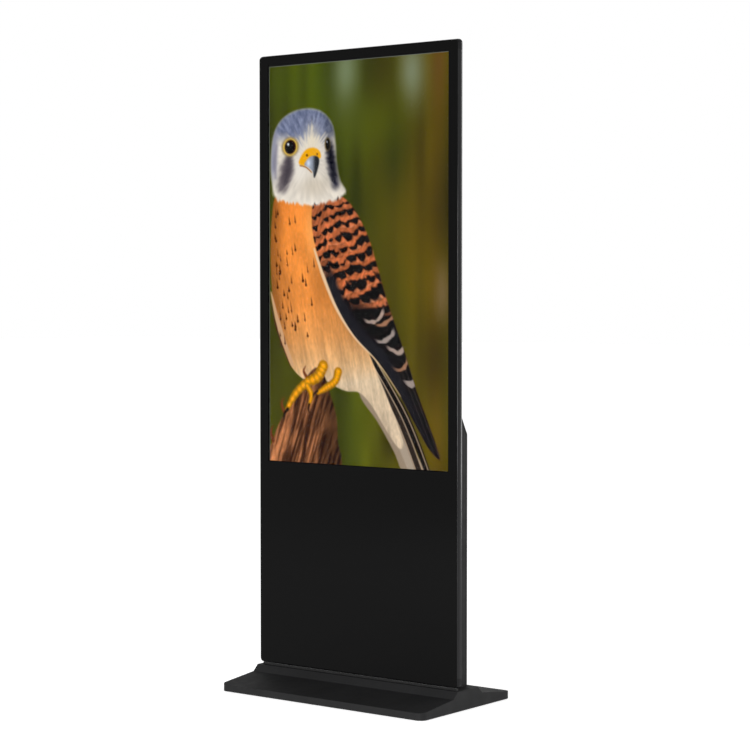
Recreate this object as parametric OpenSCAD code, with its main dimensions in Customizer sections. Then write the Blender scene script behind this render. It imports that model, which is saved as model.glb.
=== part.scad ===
// Free-standing touchscreen kiosk: a slim portrait display with a full-height glass front,
// a thicker rear cabinet with a service door in its lower half, and a low ramped base.
// Millimetres. +Z is up, the glass faces -Y, +X is to the right of someone who faces it.
// The origin is the middle of the base at floor level.

/* [Display] */
// Width of the lit area of the screen
active_w = 680.4; // [520:1:700]
// Height of the lit area of the screen
active_h = 1209.6; // [940:1:1240]
// Width of the dark rim of the display module around the lit area
module_rim = 9.3; // [6:0.1:10]
// Depth of the display module from its bezel to its back
module_d = 8.5; // [8:0.1:8.8]

/* [Front frame] */
// Width of the front frame
panel_w = 760; // [750:1:900]
// Height of the front frame
panel_h = 1876; // [1500:1:2200]
// Depth of the front frame
frame_d = 16; // [15.5:0.1:22]
// Width of the rounded nose of the frame, seen from the front
nose_w = 5; // [3:0.1:8]
// Outer corner radius of the frame, seen from the front
corner_r = 14; // [10:1:22]
// Distance from the top of the frame to the top of the lit area
top_margin = 36; // [30:1:60]
// Thickness of the touch glass
glass_t = 4; // [3:0.5:4]
// Distance from the frame's outer edge to the inner edge of the ledge behind the glass
ledge_in = 25; // [18:1:27]
// Distance from the frame's outer edge to the inner edge of its rear flange
flange_in = 55; // [50:1:60]

/* [Body] */
// Depth of the whole body, from the glass to the back of the cabinet
body_d = 90; // [84:1:130]
// Depth of the slim upper part, from the glass to the back of its cover
upper_d = 54; // [52:1:56]
// How far the rear covers stand in from the frame's edge
cover_inset = 33.5; // [30:0.5:42]
// Height of the upright back of the lower cabinet above the floor
cabinet_top = 800; // [790:1:900]
// Height of the slope between the lower cabinet and the slim upper part
slope_h = 66; // [50:1:120]
// Shadow gap between the front frame and the plinth
frame_gap = 6; // [3:0.5:12]
// Sheet thickness of the covers
sheet_t = 1.5; // [1:0.1:2]
// Depth of the folded returns around the back panel
return_d = 6; // [4:0.5:10]

/* [Service door] */
// Width of the door opening
door_w = 500; // [440:1:520]
// Height of the door opening
door_h = 440; // [400:1:460]
// Height of the opening's lower edge above the floor
door_z = 150; // [145:1:180]
// Gap between the door and its opening
door_gap = 1.7; // [1.2:0.1:3]
// Depth of the door's folded rim
rim_d = 10; // [6:1:12]
// Radius of the hinge pins
pin_r = 1.5; // [1.2:0.1:2]

/* [Base] */
// Width of the base
base_w = 765; // [765:1:900]
// Depth of the base
base_d = 447; // [400:1:600]
// Height of the base's outer edge
edge_h = 23; // [18:1:30]
// Height where the ramps meet the plinth
ramp_h = 40.5; // [34:0.5:50]
// Height of the plinth's top
plinth_h = 60; // [50:1:80]
// How far the plinth's flat top stands out in front of the glass and behind the cabinet
plinth_margin = 6.5; // [4:0.5:20]
// How far the plinth's slanted sides lean out
plinth_lean = 20; // [5:0.5:40]
// Radius of the base's corners, seen from above
base_r = 24; // [10:1:40]
// Sheet thickness of the base cover
base_sheet = 2; // [1.5:0.1:3]
// Thickness of the ballast plate in the base
plate_t = 8; // [6:1:10]
// Thickness of the rubber feet
foot_t = 2; // [2:0.5:5]
// Width between the castor holes, across the base
castor_w = 640; // [500:1:680]
// Width between the castor holes, front to back
castor_d = 340; // [280:1:380]
// Radius of the castor holes
castor_r = 5; // [4:0.5:6]

/* [Uprights] */
// Width of the upright tubes
upright_w = 50; // [40:1:60]
// Depth of the upright tubes
upright_d = 15; // [10:1:15]
// Distance of each upright from the middle
upright_x = 200; // [180:1:205]
// Height of the uprights' tops above the floor
upright_top = 1320; // [1100:1:1500]

/* [Fans and speakers] */
// Side of the square fan housings
fan_side = 80; // [60:1:80]
// Depth of the fan housings
fan_d = 25; // [15:1:25]
// Distance of each fan from the middle
fan_x = 120; // [100:1:130]
// Width of the speaker boxes
speaker_w = 64; // [50:1:70]
// Height of the speaker boxes
speaker_h = 104; // [80:1:120]
// Distance of each speaker from the middle
speaker_x = 285; // [270:1:290]
// Height of the fans' and speakers' centres above the floor
vent_z = 715; // [700:1:730]

/* [Connection panel] */
// Height of the connection panel's centre above the floor
io_z = 104; // [96:1:110]
// Width of the cut-out in front of the connection panel
io_w = 260; // [240:1:280]
// Height of the cut-out in front of the connection panel
io_h = 40; // [30:1:44]

/* [Hidden] */

$fn = 48;
eps = 0.01;      // overshoot of a cutting tool past a face
seam = 0.8;      // shadow gap between two covers
joint_gap = 0.2; // hairline between a rail and a corner cap
fit = 0.3;       // clearance of a part in its pocket

// Heights
frame_z0 = plinth_h + frame_gap;
frame_z1 = frame_z0 + panel_h;
frame_mid_z = (frame_z0 + frame_z1) / 2;
active_z1 = frame_z1 - top_margin;
active_z0 = active_z1 - active_h;
active_mid_z = (active_z0 + active_z1) / 2;
slope_z = cabinet_top + slope_h;
cover_z1 = frame_z1 - cover_inset;

// Depths along Y
front_y = -body_d / 2;
back_y = body_d / 2;
upper_y = front_y + upper_d;
frame_back_y = front_y + frame_d;
glass_back_y = front_y + glass_t;
tape_t = 1;
ledge_t = 2;
flange_t = 2;
module_y = glass_back_y + tape_t;
back_in_y = back_y - sheet_t;

// Half widths
half_w = panel_w / 2;
cover_x = half_w - cover_inset;
cover_in_x = cover_x - sheet_t;
module_w = active_w + 2 * module_rim;
module_h = active_h + 2 * module_rim;

// Screws that hold the rear covers to the frame's flange
cover_flange = 20;
cover_screw_r = 2;
cover_screw_head_r = 3.6;
cover_screw_x = cover_x + cover_flange / 2;
upper_screws = 7;
cabinet_screws = 6;
top_screws = 5;
cover_screw_places = concat(
    [for (s = [-1, 1], i = [0:upper_screws - 1])
        [s * cover_screw_x, slope_z + 45 + i * (cover_z1 - slope_z - 80) / (upper_screws - 1)]],
    [for (s = [-1, 1], i = [0:cabinet_screws - 1])
        [s * cover_screw_x, frame_z0 + 80 + i * (slope_z - frame_z0 - 130) / (cabinet_screws - 1)]],
    [for (i = [0:top_screws - 1])
        [(i - (top_screws - 1) / 2) * 2 * cover_x / top_screws, cover_z1 + cover_flange / 2]]);

// Left edge, lower edge, width and height of the media board, and the same and the depth of the supply
board = [-205, 440, 150, 118];
supply = [door_w / 2 - 235, 440, 200, 100, 32];
supply_clear = 4; // from the power supply to the back panel

// Uprights and display rails
upright_y1 = min(upper_y - sheet_t - 1.5, back_in_y - supply_clear - supply[4] - sheet_t);
upright_y0 = upright_y1 - upright_d;
upright_wall = 2;
shoe_w = 120;
shoe_d = 60;
shoe_t = 6;
base_floor = foot_t + plate_t;
bolt_r = 4;
bolt_x = 42;
rail_crown = 40;
rail_foot = 15;
rail_t = 1.5;

// Base
base_half = base_w / 2;
plinth_top_d = body_d + 2 * plinth_margin;
plinth_foot_d = plinth_top_d + 2 * plinth_lean;
ramp = [[-base_d / 2, foot_t], [-base_d / 2, edge_h], [-plinth_foot_d / 2, ramp_h],
    [-plinth_top_d / 2, plinth_h], [plinth_top_d / 2, plinth_h], [plinth_foot_d / 2, ramp_h],
    [base_d / 2, edge_h], [base_d / 2, foot_t]];
tab_places = [for (x = [-0.4, 0, 0.4], s = [-1, 1]) [x * base_w, s]];
tab_w = 24;
tab_d = 14;
tab_h = 7;
tab_screw_r = 2.5;
tab_y = base_d / 2 - base_sheet - tab_d / 2;
foot_r = 15;
foot_places = [for (x = [-0.46, 0, 0.46], y = [-0.43, 0.43]) [x * base_w, y * base_d]];

// Door, hinges and lock
door_mid_z = door_z + door_h / 2;
leaf_w = door_w - 2 * door_gap;
leaf_h = door_h - 2 * door_gap;
knuckle_r = 3.5;
hinge_leaf_t = 1.5;
hinge_leaf_w = 20;
hinge_x = door_w / 2 + 1;
hinge_y = back_y + knuckle_r + 0.3;
hinge_h = 60;
hinge_places = [door_z + 70, door_z + door_h - 70];
knuckle_gap = 0.4;
lock_x = -(door_w / 2 - 28);
lock_z = door_mid_z;
lock_r = 9;
lock_head_r = 11;
lock_plug_r = 6;
lock_l = 18;
cam_l = 34;
cam_w = 12;
cam_t = 2;
cam_y1 = back_y - lock_l - 1;
strike_y = cam_y1 + 0.8;

// Inside
component_y1 = upright_y1 + sheet_t;
standoff_h = 6;
pcb_t = 1.6;
tcon_z = active_z0 + 303.6;
tcon_h = 44;
cable_x = -70;
fan_r = fan_side / 2 - 2;
fan_hub_r = 14;
fan_blades = 7;
tray_tab = [14, 20, 10];
tray_tab_places = [for (s = [-1, 1], f = [0.09, 0.47, 0.86]) [s, plinth_h + f * (cabinet_top - plinth_h)]];

// Sockets on the connection panel, as distances from the middle
inlet_x = 96;
switch_x = 62;
button_x = 34;
lan_x = 4;
usb_x = -26;
hdmi_x = -56;
jack_x = -84;
aerial_x = -108;
inlet_cavity = [24.5, 15, 16.5];
inlet_d = 18.5;
switch_d = 17;

// ---------- helpers ----------

function unit(v) = v / norm(v);
function left_normal(a, b) = let (u = unit(b - a)) [-u[1], u[0]];
function cross2(a, b) = a[0] * b[1] - a[1] * b[0];
function crossing(p, u, q, v) = p + u * cross2(q - p, v) / cross2(u, v);
function backwards(p) = [for (i = [len(p) - 1:-1:0]) p[i]];

// An open path moved sideways by d, to its left where d is positive
function moved_path(p, d) = [for (i = [0:len(p) - 1])
    i == 0 ? p[0] + d * left_normal(p[0], p[1])
    : i == len(p) - 1 ? p[i] + d * left_normal(p[i - 1], p[i])
    : crossing(p[i] + d * left_normal(p[i - 1], p[i]), p[i] - p[i - 1],
        p[i] + d * left_normal(p[i], p[i + 1]), p[i + 1] - p[i])];

// The section of a sheet folded along a path
module folded(path, t) {
    polygon(concat(path, backwards(moved_path(path, t))));
}

// A section drawn in Y and Z, drawn out along X
module along_x(x0, x1) {
    translate([x0, 0, 0]) rotate([90, 0, 90]) linear_extrude(x1 - x0) children();
}

// An outline drawn in X and Z, given depth along Y
module slab(y0, y1) {
    translate([0, y1, 0]) rotate([90, 0, 0]) linear_extrude(y1 - y0) children();
}

// A box from its lowest to its highest corner
module block(low, high) {
    translate(low) cube(high - low);
}

// A round bar along Y
module bar_y(x, z, r, y0, y1) {
    translate([x, y1, z]) rotate([90, 0, 0]) cylinder(r = r, h = y1 - y0);
}

module rounded(w, h, r) {
    square([w - 2 * r, h], center = true);
    square([w, h - 2 * r], center = true);
    for (x = [-1, 1], y = [-1, 1]) translate([x * (w / 2 - r), y * (h / 2 - r)]) circle(r);
}

module slot(l, w) {
    square([l - w, w], center = true);
    for (s = [-1, 1]) translate([s * (l - w) / 2, 0]) circle(w / 2);
}

// A column of slots, one above the other
module slot_column(l, w, pitch, count) {
    for (i = [0:count - 1]) translate([0, (i - (count - 1) / 2) * pitch]) slot(l, w);
}

// A flat ring between two rectangles
module flat_ring(w, h, border) {
    difference() {
        square([w, h], center = true);
        square([w - 2 * border, h - 2 * border], center = true);
    }
}

// A wire along a chain of points
module wire(points, r) {
    for (i = [0:len(points) - 2]) {
        step = points[i + 1] - points[i];
        translate(points[i])
            rotate([0, acos(step[2] / norm(step)), atan2(step[1], step[0])])
                cylinder(r = r, h = norm(step), $fn = 16);
        if (i > 0) translate(points[i]) sphere(1.1 * r, $fn = 16);
    }
}

// ---------- base ----------

module base_plan(inset) {
    rounded(base_w - 2 * inset, base_d - 2 * inset, base_r - inset);
}

module castor_places() {
    for (x = [-1, 1], y = [-1, 1]) translate([x * castor_w / 2, y * castor_d / 2, 0]) children();
}

module upright_bolt_places() {
    for (s = [-1, 1], b = [-1, 1])
        translate([s * upright_x + b * bolt_x, (upright_y0 + upright_y1) / 2, 0]) children();
}

module base_plate() {
    color([0.30, 0.31, 0.32]) difference() {
        translate([0, 0, foot_t]) linear_extrude(plate_t) base_plan(base_sheet + fit);
        castor_places() cylinder(r = castor_r, h = base_floor + 1);
        upright_bolt_places() cylinder(r = bolt_r + 0.1, h = base_floor + 1);
        for (p = tab_places) translate([p[0], p[1] * tab_y, 0])
            cylinder(r = tab_screw_r + 0.2, h = base_floor + 1);
        for (p = tab_places) translate([p[0], p[1] * tab_y, foot_t - eps])
            cylinder(r1 = 2 * tab_screw_r + 0.2, r2 = tab_screw_r + 0.2, h = tab_screw_r);
    }
}

module base_cover() {
    inner = moved_path(ramp, -base_sheet);
    color([0.10, 0.10, 0.10]) difference() {
        intersection() {
            along_x(-base_half, base_half) polygon(ramp);
            linear_extrude(plinth_h + 1) base_plan(0);
        }
        difference() {
            intersection() {
                along_x(-base_half + base_sheet, base_half - base_sheet)
                    polygon(concat([inner[0] - [0, 1]], inner, [inner[len(inner) - 1] - [0, 1]]));
                linear_extrude(plinth_h + 1) base_plan(base_sheet);
            }
            for (p = tab_places) translate([p[0], p[1] * (tab_y + 1), base_floor + tab_h / 2])
                cube([tab_w, tab_d + 2, tab_h], center = true);
        }
        for (p = tab_places) translate([p[0], p[1] * tab_y, 0])
            cylinder(r = tab_screw_r + 0.05, h = base_floor + tab_h - 1);
        upright_cutouts(plinth_h - base_sheet - 1, plinth_h + 1);
    }
}

module upright_cutouts(z0, z1) {
    for (s = [-1, 1])
        block([s * upright_x - upright_w / 2 - 2, upright_y0 - 2, z0],
            [s * upright_x + upright_w / 2 + 2, upright_y1 + 2, z1]);
}

module base_feet() {
    color([0.05, 0.05, 0.05]) for (p = foot_places) translate([p[0], p[1], 0]) difference() {
        union() {
            cylinder(r1 = foot_r - 1, r2 = foot_r, h = 1);
            translate([0, 0, 1]) cylinder(r = foot_r, h = foot_t - 1);
        }
        translate([0, 0, -eps]) cylinder(r = 4, h = 1);
    }
}

module base_screws() {
    color([0.55, 0.55, 0.56]) for (p = tab_places) translate([p[0], p[1] * tab_y, foot_t]) difference() {
        union() {
            cylinder(r1 = 2 * tab_screw_r, r2 = tab_screw_r, h = tab_screw_r);
            cylinder(r = tab_screw_r, h = plate_t + tab_h - 2);
        }
        translate([0, 0, -eps]) cylinder(r = 1.5, h = 1.5, $fn = 6);
    }
}

// ---------- uprights ----------

module upright(s) {
    z0 = base_floor + shoe_t;
    mid_y = (upright_y0 + upright_y1) / 2;
    color([0.20, 0.20, 0.21]) difference() {
        union() {
            block([s * upright_x - upright_w / 2, upright_y0, z0],
                [s * upright_x + upright_w / 2, upright_y1, upright_top]);
            block([s * upright_x - shoe_w / 2, mid_y - shoe_d / 2, base_floor],
                [s * upright_x + shoe_w / 2, mid_y + shoe_d / 2, z0]);
        }
        block([s * upright_x - upright_w / 2 + upright_wall, upright_y0 + upright_wall, z0],
            [s * upright_x + upright_w / 2 - upright_wall, upright_y1 - upright_wall, upright_top + 1]);
        upright_bolt_places() cylinder(r = bolt_r + 0.3, h = z0 + 1);
    }
}

module upright_left() { upright(-1); }

module upright_right() { upright(1); }

module upright_bolts() {
    z0 = base_floor + shoe_t;
    color([0.60, 0.60, 0.62]) upright_bolt_places() {
        translate([0, 0, foot_t + 1]) cylinder(r = bolt_r, h = z0 - foot_t - 1);
        translate([0, 0, z0]) cylinder(r = 2 * bolt_r, h = 1.6);
        translate([0, 0, z0 + 1.6]) cylinder(r = 1.85 * bolt_r, h = 5.3, $fn = 6);
    }
}

module plinth_gasket() {
    color([0.02, 0.02, 0.02])
        block([-half_w + 10, front_y + 6, plinth_h], [half_w - 10, frame_back_y - 2, frame_z0]);
}

// ---------- front frame ----------

// Section of a frame rail: u runs outwards from the outer edge, v back from the front
nose_steps = 10;
nose = [for (i = [0:nose_steps]) let (a = 90 * i / nose_steps)
    [nose_w * (sin(a) - 1), frame_d * (1 - cos(a))]];
ledge_v = glass_t + tape_t;
function rail_section(reach) = concat(nose, [
    [-min(flange_in, reach), frame_d], [-min(flange_in, reach), frame_d - flange_t],
    [-nose_w, frame_d - flange_t], [-nose_w, ledge_v + ledge_t],
    [-min(ledge_in, reach), ledge_v + ledge_t], [-min(ledge_in, reach), ledge_v],
    [-nose_w, ledge_v]]);
cap_l = 30;

module side_rail_section() {
    polygon([for (p = rail_section(flange_in)) [half_w + p[0], front_y + p[1]]]);
}

module end_rail_section() {
    polygon([for (p = rail_section(flange_in)) [front_y + p[1], panel_h / 2 + p[0]]]);
}

module side_rail() {
    l = panel_h - 2 * cap_l - 2 * joint_gap;
    difference() {
        translate([0, 0, frame_mid_z - l / 2]) linear_extrude(l) side_rail_section();
        cover_screw_holes(cover_screw_r + 0.02);
    }
}

// The top and bottom rails' flanges stop short of the side rails' flanges
module end_rail(s) {
    l = panel_w - 2 * cap_l - 2 * joint_gap;
    difference() {
        translate([0, 0, frame_mid_z]) mirror([0, 0, s < 0 ? 1 : 0])
            along_x(-l / 2, l / 2) end_rail_section();
        for (m = [-1, 1]) block(
            [m > 0 ? half_w - flange_in - joint_gap : -half_w, frame_back_y - flange_t - eps,
                s > 0 ? frame_z1 - flange_in - 1 : frame_z0 + cap_l],
            [m > 0 ? half_w : -half_w + flange_in + joint_gap, frame_back_y + eps,
                s > 0 ? frame_z1 - cap_l : frame_z0 + flange_in + 1]);
        cover_screw_holes(cover_screw_r + 0.02);
    }
}

module cover_screw_holes(r) {
    for (p = cover_screw_places) bar_y(p[0], p[1], r, frame_back_y - flange_t - 1, frame_back_y + 4);
}

module frame_left() { color([0.16, 0.16, 0.17]) mirror([1, 0, 0]) side_rail(); }

module frame_right() { color([0.16, 0.16, 0.17]) side_rail(); }

module frame_top() { color([0.16, 0.16, 0.17]) end_rail(1); }

module frame_bottom() { color([0.16, 0.16, 0.17]) end_rail(-1); }

// One cap, for the top right corner: the rail's section carried round the corner
module corner_cap() {
    section = rail_section(cap_l);
    bend = [for (p = rail_section(corner_r)) [corner_r + p[0], p[1]]];
    translate([half_w - corner_r, front_y, frame_z1 - corner_r])
        mirror([0, 0, 1]) rotate([-90, 0, 0]) rotate_extrude(angle = 90) polygon(bend);
    translate([0, 0, frame_z1 - cap_l]) linear_extrude(cap_l - corner_r)
        polygon([for (p = section) [half_w + p[0], front_y + p[1]]]);
    along_x(half_w - cap_l, half_w - corner_r)
        polygon([for (p = section) [front_y + p[1], frame_z1 + p[0]]]);
}

// Does something at each corner of the frame, from its form at the top right
module frame_corners() {
    translate([0, 0, frame_mid_z]) for (x = [0, 1], z = [0, 1])
        mirror([x, 0, 0]) mirror([0, 0, z]) translate([0, 0, -frame_mid_z]) children();
}

module corner_caps() { color([0.15, 0.15, 0.16]) frame_corners() corner_cap(); }

bracket_l = 90;
bracket_w = 12;

module corner_brackets() {
    y0 = front_y + ledge_v + ledge_t + 0.5;
    y1 = frame_back_y - flange_t - 0.5;
    edge = corner_r - (corner_r - nose_w - fit) / sqrt(2);
    color([0.62, 0.62, 0.64]) frame_corners() difference() {
        block([half_w - bracket_l, y0, frame_z1 - bracket_l], [half_w - edge, y1, frame_z1 - edge]);
        block([half_w - bracket_l - 1, y0 - 1, frame_z1 - bracket_l - 1],
            [half_w - edge - bracket_w, y1 + 1, frame_z1 - edge - bracket_w]);
    }
}

module front_glass() {
    color([0.05, 0.05, 0.06, 0.9]) translate([0, 0, frame_mid_z]) slab(front_y, glass_back_y)
        rounded(panel_w - 2 * nose_w - 2 * fit, panel_h - 2 * nose_w - 2 * fit, corner_r - nose_w);
}

module glass_tape() {
    edge = nose_w + 2;
    color([0.03, 0.03, 0.03]) translate([0, 0, frame_mid_z]) slab(glass_back_y, module_y) difference() {
        rounded(panel_w - 2 * edge, panel_h - 2 * edge, max(corner_r - edge, 0.5));
        square([panel_w - 2 * ledge_in + 4, panel_h - 2 * ledge_in + 4], center = true);
    }
}

module lower_liner() {
    color([0.18, 0.18, 0.19])
        block([-half_w + ledge_in + 2, glass_back_y, frame_z0 + ledge_in + 2],
            [half_w - ledge_in - 2, glass_back_y + sheet_t, active_z0 - module_rim - 3]);
}

// ---------- display module ----------

bezel_t = 0.8;
bezel_lip = module_rim - 3;

module module_slab(v0, v1) {
    translate([0, 0, active_mid_z]) slab(module_y + v0, module_y + v1) children();
}

module lcd_gasket() {
    color([0.04, 0.04, 0.04]) module_slab(-tape_t, 0) flat_ring(module_w - 1, module_h - 1, 4);
}

module lcd_bezel() {
    color([0.45, 0.46, 0.48]) {
        module_slab(0, bezel_t) flat_ring(module_w, module_h, bezel_lip);
        module_slab(bezel_t - eps, module_d) flat_ring(module_w, module_h, bezel_t);
    }
}

module lcd_cell() {
    color([0.25, 0.30, 0.10])
        module_slab(1, 2.4) square([module_w - 3, module_h - 3], center = true);
}

module optical_films() {
    color([0.92, 0.92, 0.92])
        module_slab(2.5, 3.3) square([module_w - 4, module_h - 4], center = true);
}

module light_guide() {
    color([0.80, 0.86, 0.90])
        module_slab(3.4, 5.9) square([module_w - 14, module_h - 6], center = true);
}

led_count = 36;

module led_bars() {
    x = module_w / 2 - 5;
    color([0.95, 0.95, 0.88]) for (s = [-1, 1]) mirror([s < 0 ? 1 : 0, 0, 0]) {
        block([x, module_y + 3.4, active_z0], [x + 1.2, module_y + 6.4, active_z1]);
        for (i = [0:led_count - 1]) {
            z = active_z0 + (i + 0.5) * active_h / led_count;
            block([x - 1, module_y + 3.6, z - 3.5], [x + eps, module_y + 5.6, z + 3.5]);
        }
    }
}

module lcd_tray() {
    ribs = 5;
    inset = 2 * bezel_t + 0.4;
    color([0.62, 0.63, 0.65]) {
        module_slab(6.5, 7.5) square([module_w - inset, module_h - inset], center = true);
        for (i = [0:ribs - 1]) module_slab(7.5 - eps, module_d)
            translate([0, (i - (ribs - 1) / 2) * module_h / ribs])
                square([module_w - 140, 12], center = true);
    }
}

// Two hat-section rails that carry the frame and the display on the uprights
module display_rails() {
    z0 = frame_z0 + flange_in - 14;
    z1 = cover_z1 - sheet_t - 1.5;
    half = rail_crown / 2;
    hat = [[-half - rail_foot, frame_back_y], [-half, frame_back_y], [-half, upright_y0],
        [half, upright_y0], [half, frame_back_y], [half + rail_foot, frame_back_y]];
    color([0.58, 0.59, 0.61]) for (s = [-1, 1]) translate([s * upright_x, 0, z0]) linear_extrude(z1 - z0)
        polygon(concat(
            [hat[0], hat[1] + [rail_t, 0], hat[2] + [rail_t, -rail_t], hat[3] - [rail_t, rail_t],
                hat[4] - [rail_t, 0], hat[5]],
            [hat[5] + [0, rail_t], hat[4] + [0, rail_t], hat[3], hat[2], hat[1] + [0, rail_t],
                hat[0] + [0, rail_t]]));
}

module tcon_board() {
    y0 = frame_back_y;
    y1 = y0 + pcb_t;
    color([0.80, 0.65, 0.25]) for (x = [-92, 92], z = [6, tcon_h - 6])
        bar_y(x, tcon_z + z, 2.5, module_y + 7.5, y0);
    color([0.05, 0.28, 0.12]) block([-100, y0, tcon_z], [100, y1, tcon_z + tcon_h]);
    color([0.05, 0.05, 0.05]) {
        block([-15, y1, tcon_z + 8], [15, y1 + 2, tcon_z + 36]);
        for (s = [-1, 1]) block([s * 62 - 22, y1, tcon_z + 3], [s * 62 + 22, y1 + 3, tcon_z + 9]);
    }
}

// ---------- rear covers ----------

module rear_cover() {
    z0 = slope_z + seam;
    w = 2 * cover_x;
    h = cover_z1 - z0;
    color([0.10, 0.10, 0.10]) difference() {
        union() {
            block([-cover_x, frame_back_y, z0], [cover_x, upper_y, cover_z1]);
            block([-cover_x - cover_flange, frame_back_y, z0],
                [cover_x + cover_flange, frame_back_y + sheet_t, cover_z1 + cover_flange]);
        }
        block([-cover_in_x, frame_back_y - 1, z0 - 1],
            [cover_in_x, upper_y - sheet_t, cover_z1 - sheet_t]);
        for (s = [-1, 1]) translate([s * w / 4, 0, cover_z1 - 90]) slab(upper_y - 3, upper_y + 1)
            slot_column(90, 4, 11, 9);
        for (s = [-1, 1]) translate([s * w / 4, 0, z0 + 110]) slab(upper_y - 3, upper_y + 1)
            slot_column(90, 4, 11, 9);
        cover_screw_holes(cover_screw_r + 0.2);
    }
}

// The cabinet's outline in Y and Z, up its back
cabinet_path = [[back_y - return_d, plinth_h + sheet_t], [back_y, plinth_h + sheet_t],
    [back_y, cabinet_top], [upper_y, slope_z]];
side_path = moved_path([[back_y, plinth_h], [back_y, cabinet_top], [upper_y, slope_z]], return_d + seam);

module cabinet_side() {
    flange_z = frame_z0 + cap_l;
    top = crossing(side_path[1], side_path[2] - side_path[1], [0, slope_z], [1, 0]);
    color([0.10, 0.10, 0.10]) difference() {
        union() {
            along_x(cover_in_x, cover_x) polygon([[frame_back_y, plinth_h], side_path[0],
                side_path[1], top, [frame_back_y, slope_z]]);
            block([cover_x - eps, frame_back_y, flange_z],
                [cover_x + cover_flange, frame_back_y + sheet_t, slope_z]);
            for (p = tray_tab_places) if (p[0] > 0) translate([cover_in_x, back_in_y, p[1]]) {
                block([-tray_tab[0], -tray_tab[2], -tray_tab[1] / 2], [-fit, 0, tray_tab[1] / 2]);
                block([-1, -tray_tab[2], -tray_tab[1] / 2],
                    [eps, sheet_t - return_d - seam, tray_tab[1] / 2]);
            }
        }
        cover_screw_holes(cover_screw_r + 0.2);
        for (p = tray_tab_places)
            bar_y(cover_in_x - tray_tab[0] / 2, p[1], cover_screw_r + 0.02, back_y - 20, back_y + 1);
    }
}

module cabinet_side_left() { mirror([1, 0, 0]) cabinet_side(); }

module cabinet_side_right() { cabinet_side(); }

module cabinet_bottom() {
    color([0.10, 0.10, 0.10]) difference() {
        block([-cover_in_x + 0.1, frame_back_y, plinth_h], [cover_in_x - 0.1, back_y, plinth_h + sheet_t]);
        upright_cutouts(plinth_h - 1, plinth_h + sheet_t + 1);
    }
}

// Concentric rings of slots in front of a fan, broken by diagonal bridges
module fan_grille() {
    difference() {
        for (r = [8:7:36]) difference() {
            circle(r + 2.2);
            circle(r - 2.2);
        }
        for (a = [45, 135]) rotate(a) square([fan_side + 10, 5], center = true);
        circle(5);
    }
}

module back_panel() {
    color([0.10, 0.10, 0.10]) difference() {
        union() {
            along_x(-cover_x, cover_x) folded(cabinet_path, sheet_t);
            for (s = [-1, 1]) mirror([s < 0 ? 1 : 0, 0, 0]) along_x(cover_in_x, cover_x)
                folded([for (i = [1:3]) cabinet_path[i]], return_d);
        }
        slab(back_in_y - 1, back_y + 1) {
            translate([0, door_mid_z]) square([door_w, door_h], center = true);
            translate([0, io_z]) rounded(io_w, io_h, 4);
            for (s = [-1, 1]) translate([s * fan_x, vent_z]) fan_grille();
            for (s = [-1, 1]) translate([s * speaker_x, vent_z])
                slot_column(speaker_w - 16, 3.2, 9, 9);
        }
        for (p = tray_tab_places)
            bar_y(p[0] * (cover_in_x - tray_tab[0] / 2), p[1], cover_screw_r + 0.2, back_y - 3, back_y + 1);
        fan_screw_places() bar_y(0, 0, 2.2, back_y - 3, back_y + 1);
    }
}

module fan_screw_places() {
    for (s = [-1, 1], a = [-1, 1], b = [-1, 1])
        translate([s * fan_x + a * (fan_side / 2 - 4.5), 0, vent_z + b * (fan_side / 2 - 4.5)]) children();
}

// Pan-head screw that enters along -Y from a face at y
module pan_screw(y, l) {
    bar_y(0, 0, cover_screw_r, y - l, y + eps);
    difference() {
        bar_y(0, 0, cover_screw_head_r, y, y + 2.2);
        translate([0, y + 1.5, 0]) cube([0.8, 2, 4], center = true);
        translate([0, y + 1.5, 0]) cube([4, 2, 0.8], center = true);
    }
}

module cover_screws() {
    color([0.12, 0.12, 0.12]) {
        for (p = cover_screw_places) translate([p[0], 0, p[1]]) pan_screw(frame_back_y + sheet_t, 3.4);
        for (p = tray_tab_places) translate([p[0] * (cover_in_x - tray_tab[0] / 2), 0, p[1]])
            pan_screw(back_y, 9);
        fan_screw_places() pan_screw(back_y, 9);
    }
}

// ---------- inside the cabinet ----------

module component_plate() {
    color([0.66, 0.67, 0.68]) difference() {
        block([-232, upright_y1, door_z + 5], [232, component_y1, door_z + door_h + 25]);
        for (x = [-150, 0, 150]) translate([x, 0, door_z + 50]) slab(upright_y1 - 1, component_y1 + 1)
            slot(60, 12);
    }
}

module media_board() {
    y0 = component_y1 + standoff_h;
    y1 = y0 + pcb_t;
    x = board[0];
    z = board[1];
    color([0.04, 0.25, 0.14]) block([x, y0, z], [x + board[2], y1, z + board[3]]);
    color([0.80, 0.65, 0.25]) for (a = [5, board[2] - 5], b = [5, board[3] - 5])
        bar_y(x + a, z + b, 2.6, component_y1, y0);
    color([0.08, 0.08, 0.08]) {
        block([x + 14, y1, z + 16], [x + 60, y1 + 4, z + 24]);
        block([x + 14, y1, z + 32], [x + 60, y1 + 4, z + 40]);
        block([x + 100, y1, z + 80], [x + 118, y1 + 2, z + 98]);
        block([x + board[2] - 14, y1, z + 24], [x + board[2] - 2, y1 + 8, z + 40]);
        for (i = [0:4]) bar_y(x + 84 + i * 12, z + 14, 4, y1, y1 + 9);
    }
    color([0.75, 0.76, 0.78]) for (i = [0:3]) block([x + 20 + i * 22, y1, z + board[3] - 16],
        [x + 36 + i * 22, y1 + 13, z + board[3]]);
}

module heat_sink() {
    y0 = component_y1 + standoff_h + pcb_t;
    x = board[0] + 48;
    z = board[1] + 50;
    fins = 8;
    color([0.72, 0.73, 0.75]) {
        block([x, y0, z], [x + 44, y0 + 3, z + 44]);
        for (i = [0:fins - 1]) block([x + i * (44 - 1.5) / (fins - 1), y0 + 3 - eps, z],
            [x + 1.5 + i * (44 - 1.5) / (fins - 1), y0 + 14, z + 44]);
    }
}

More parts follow.
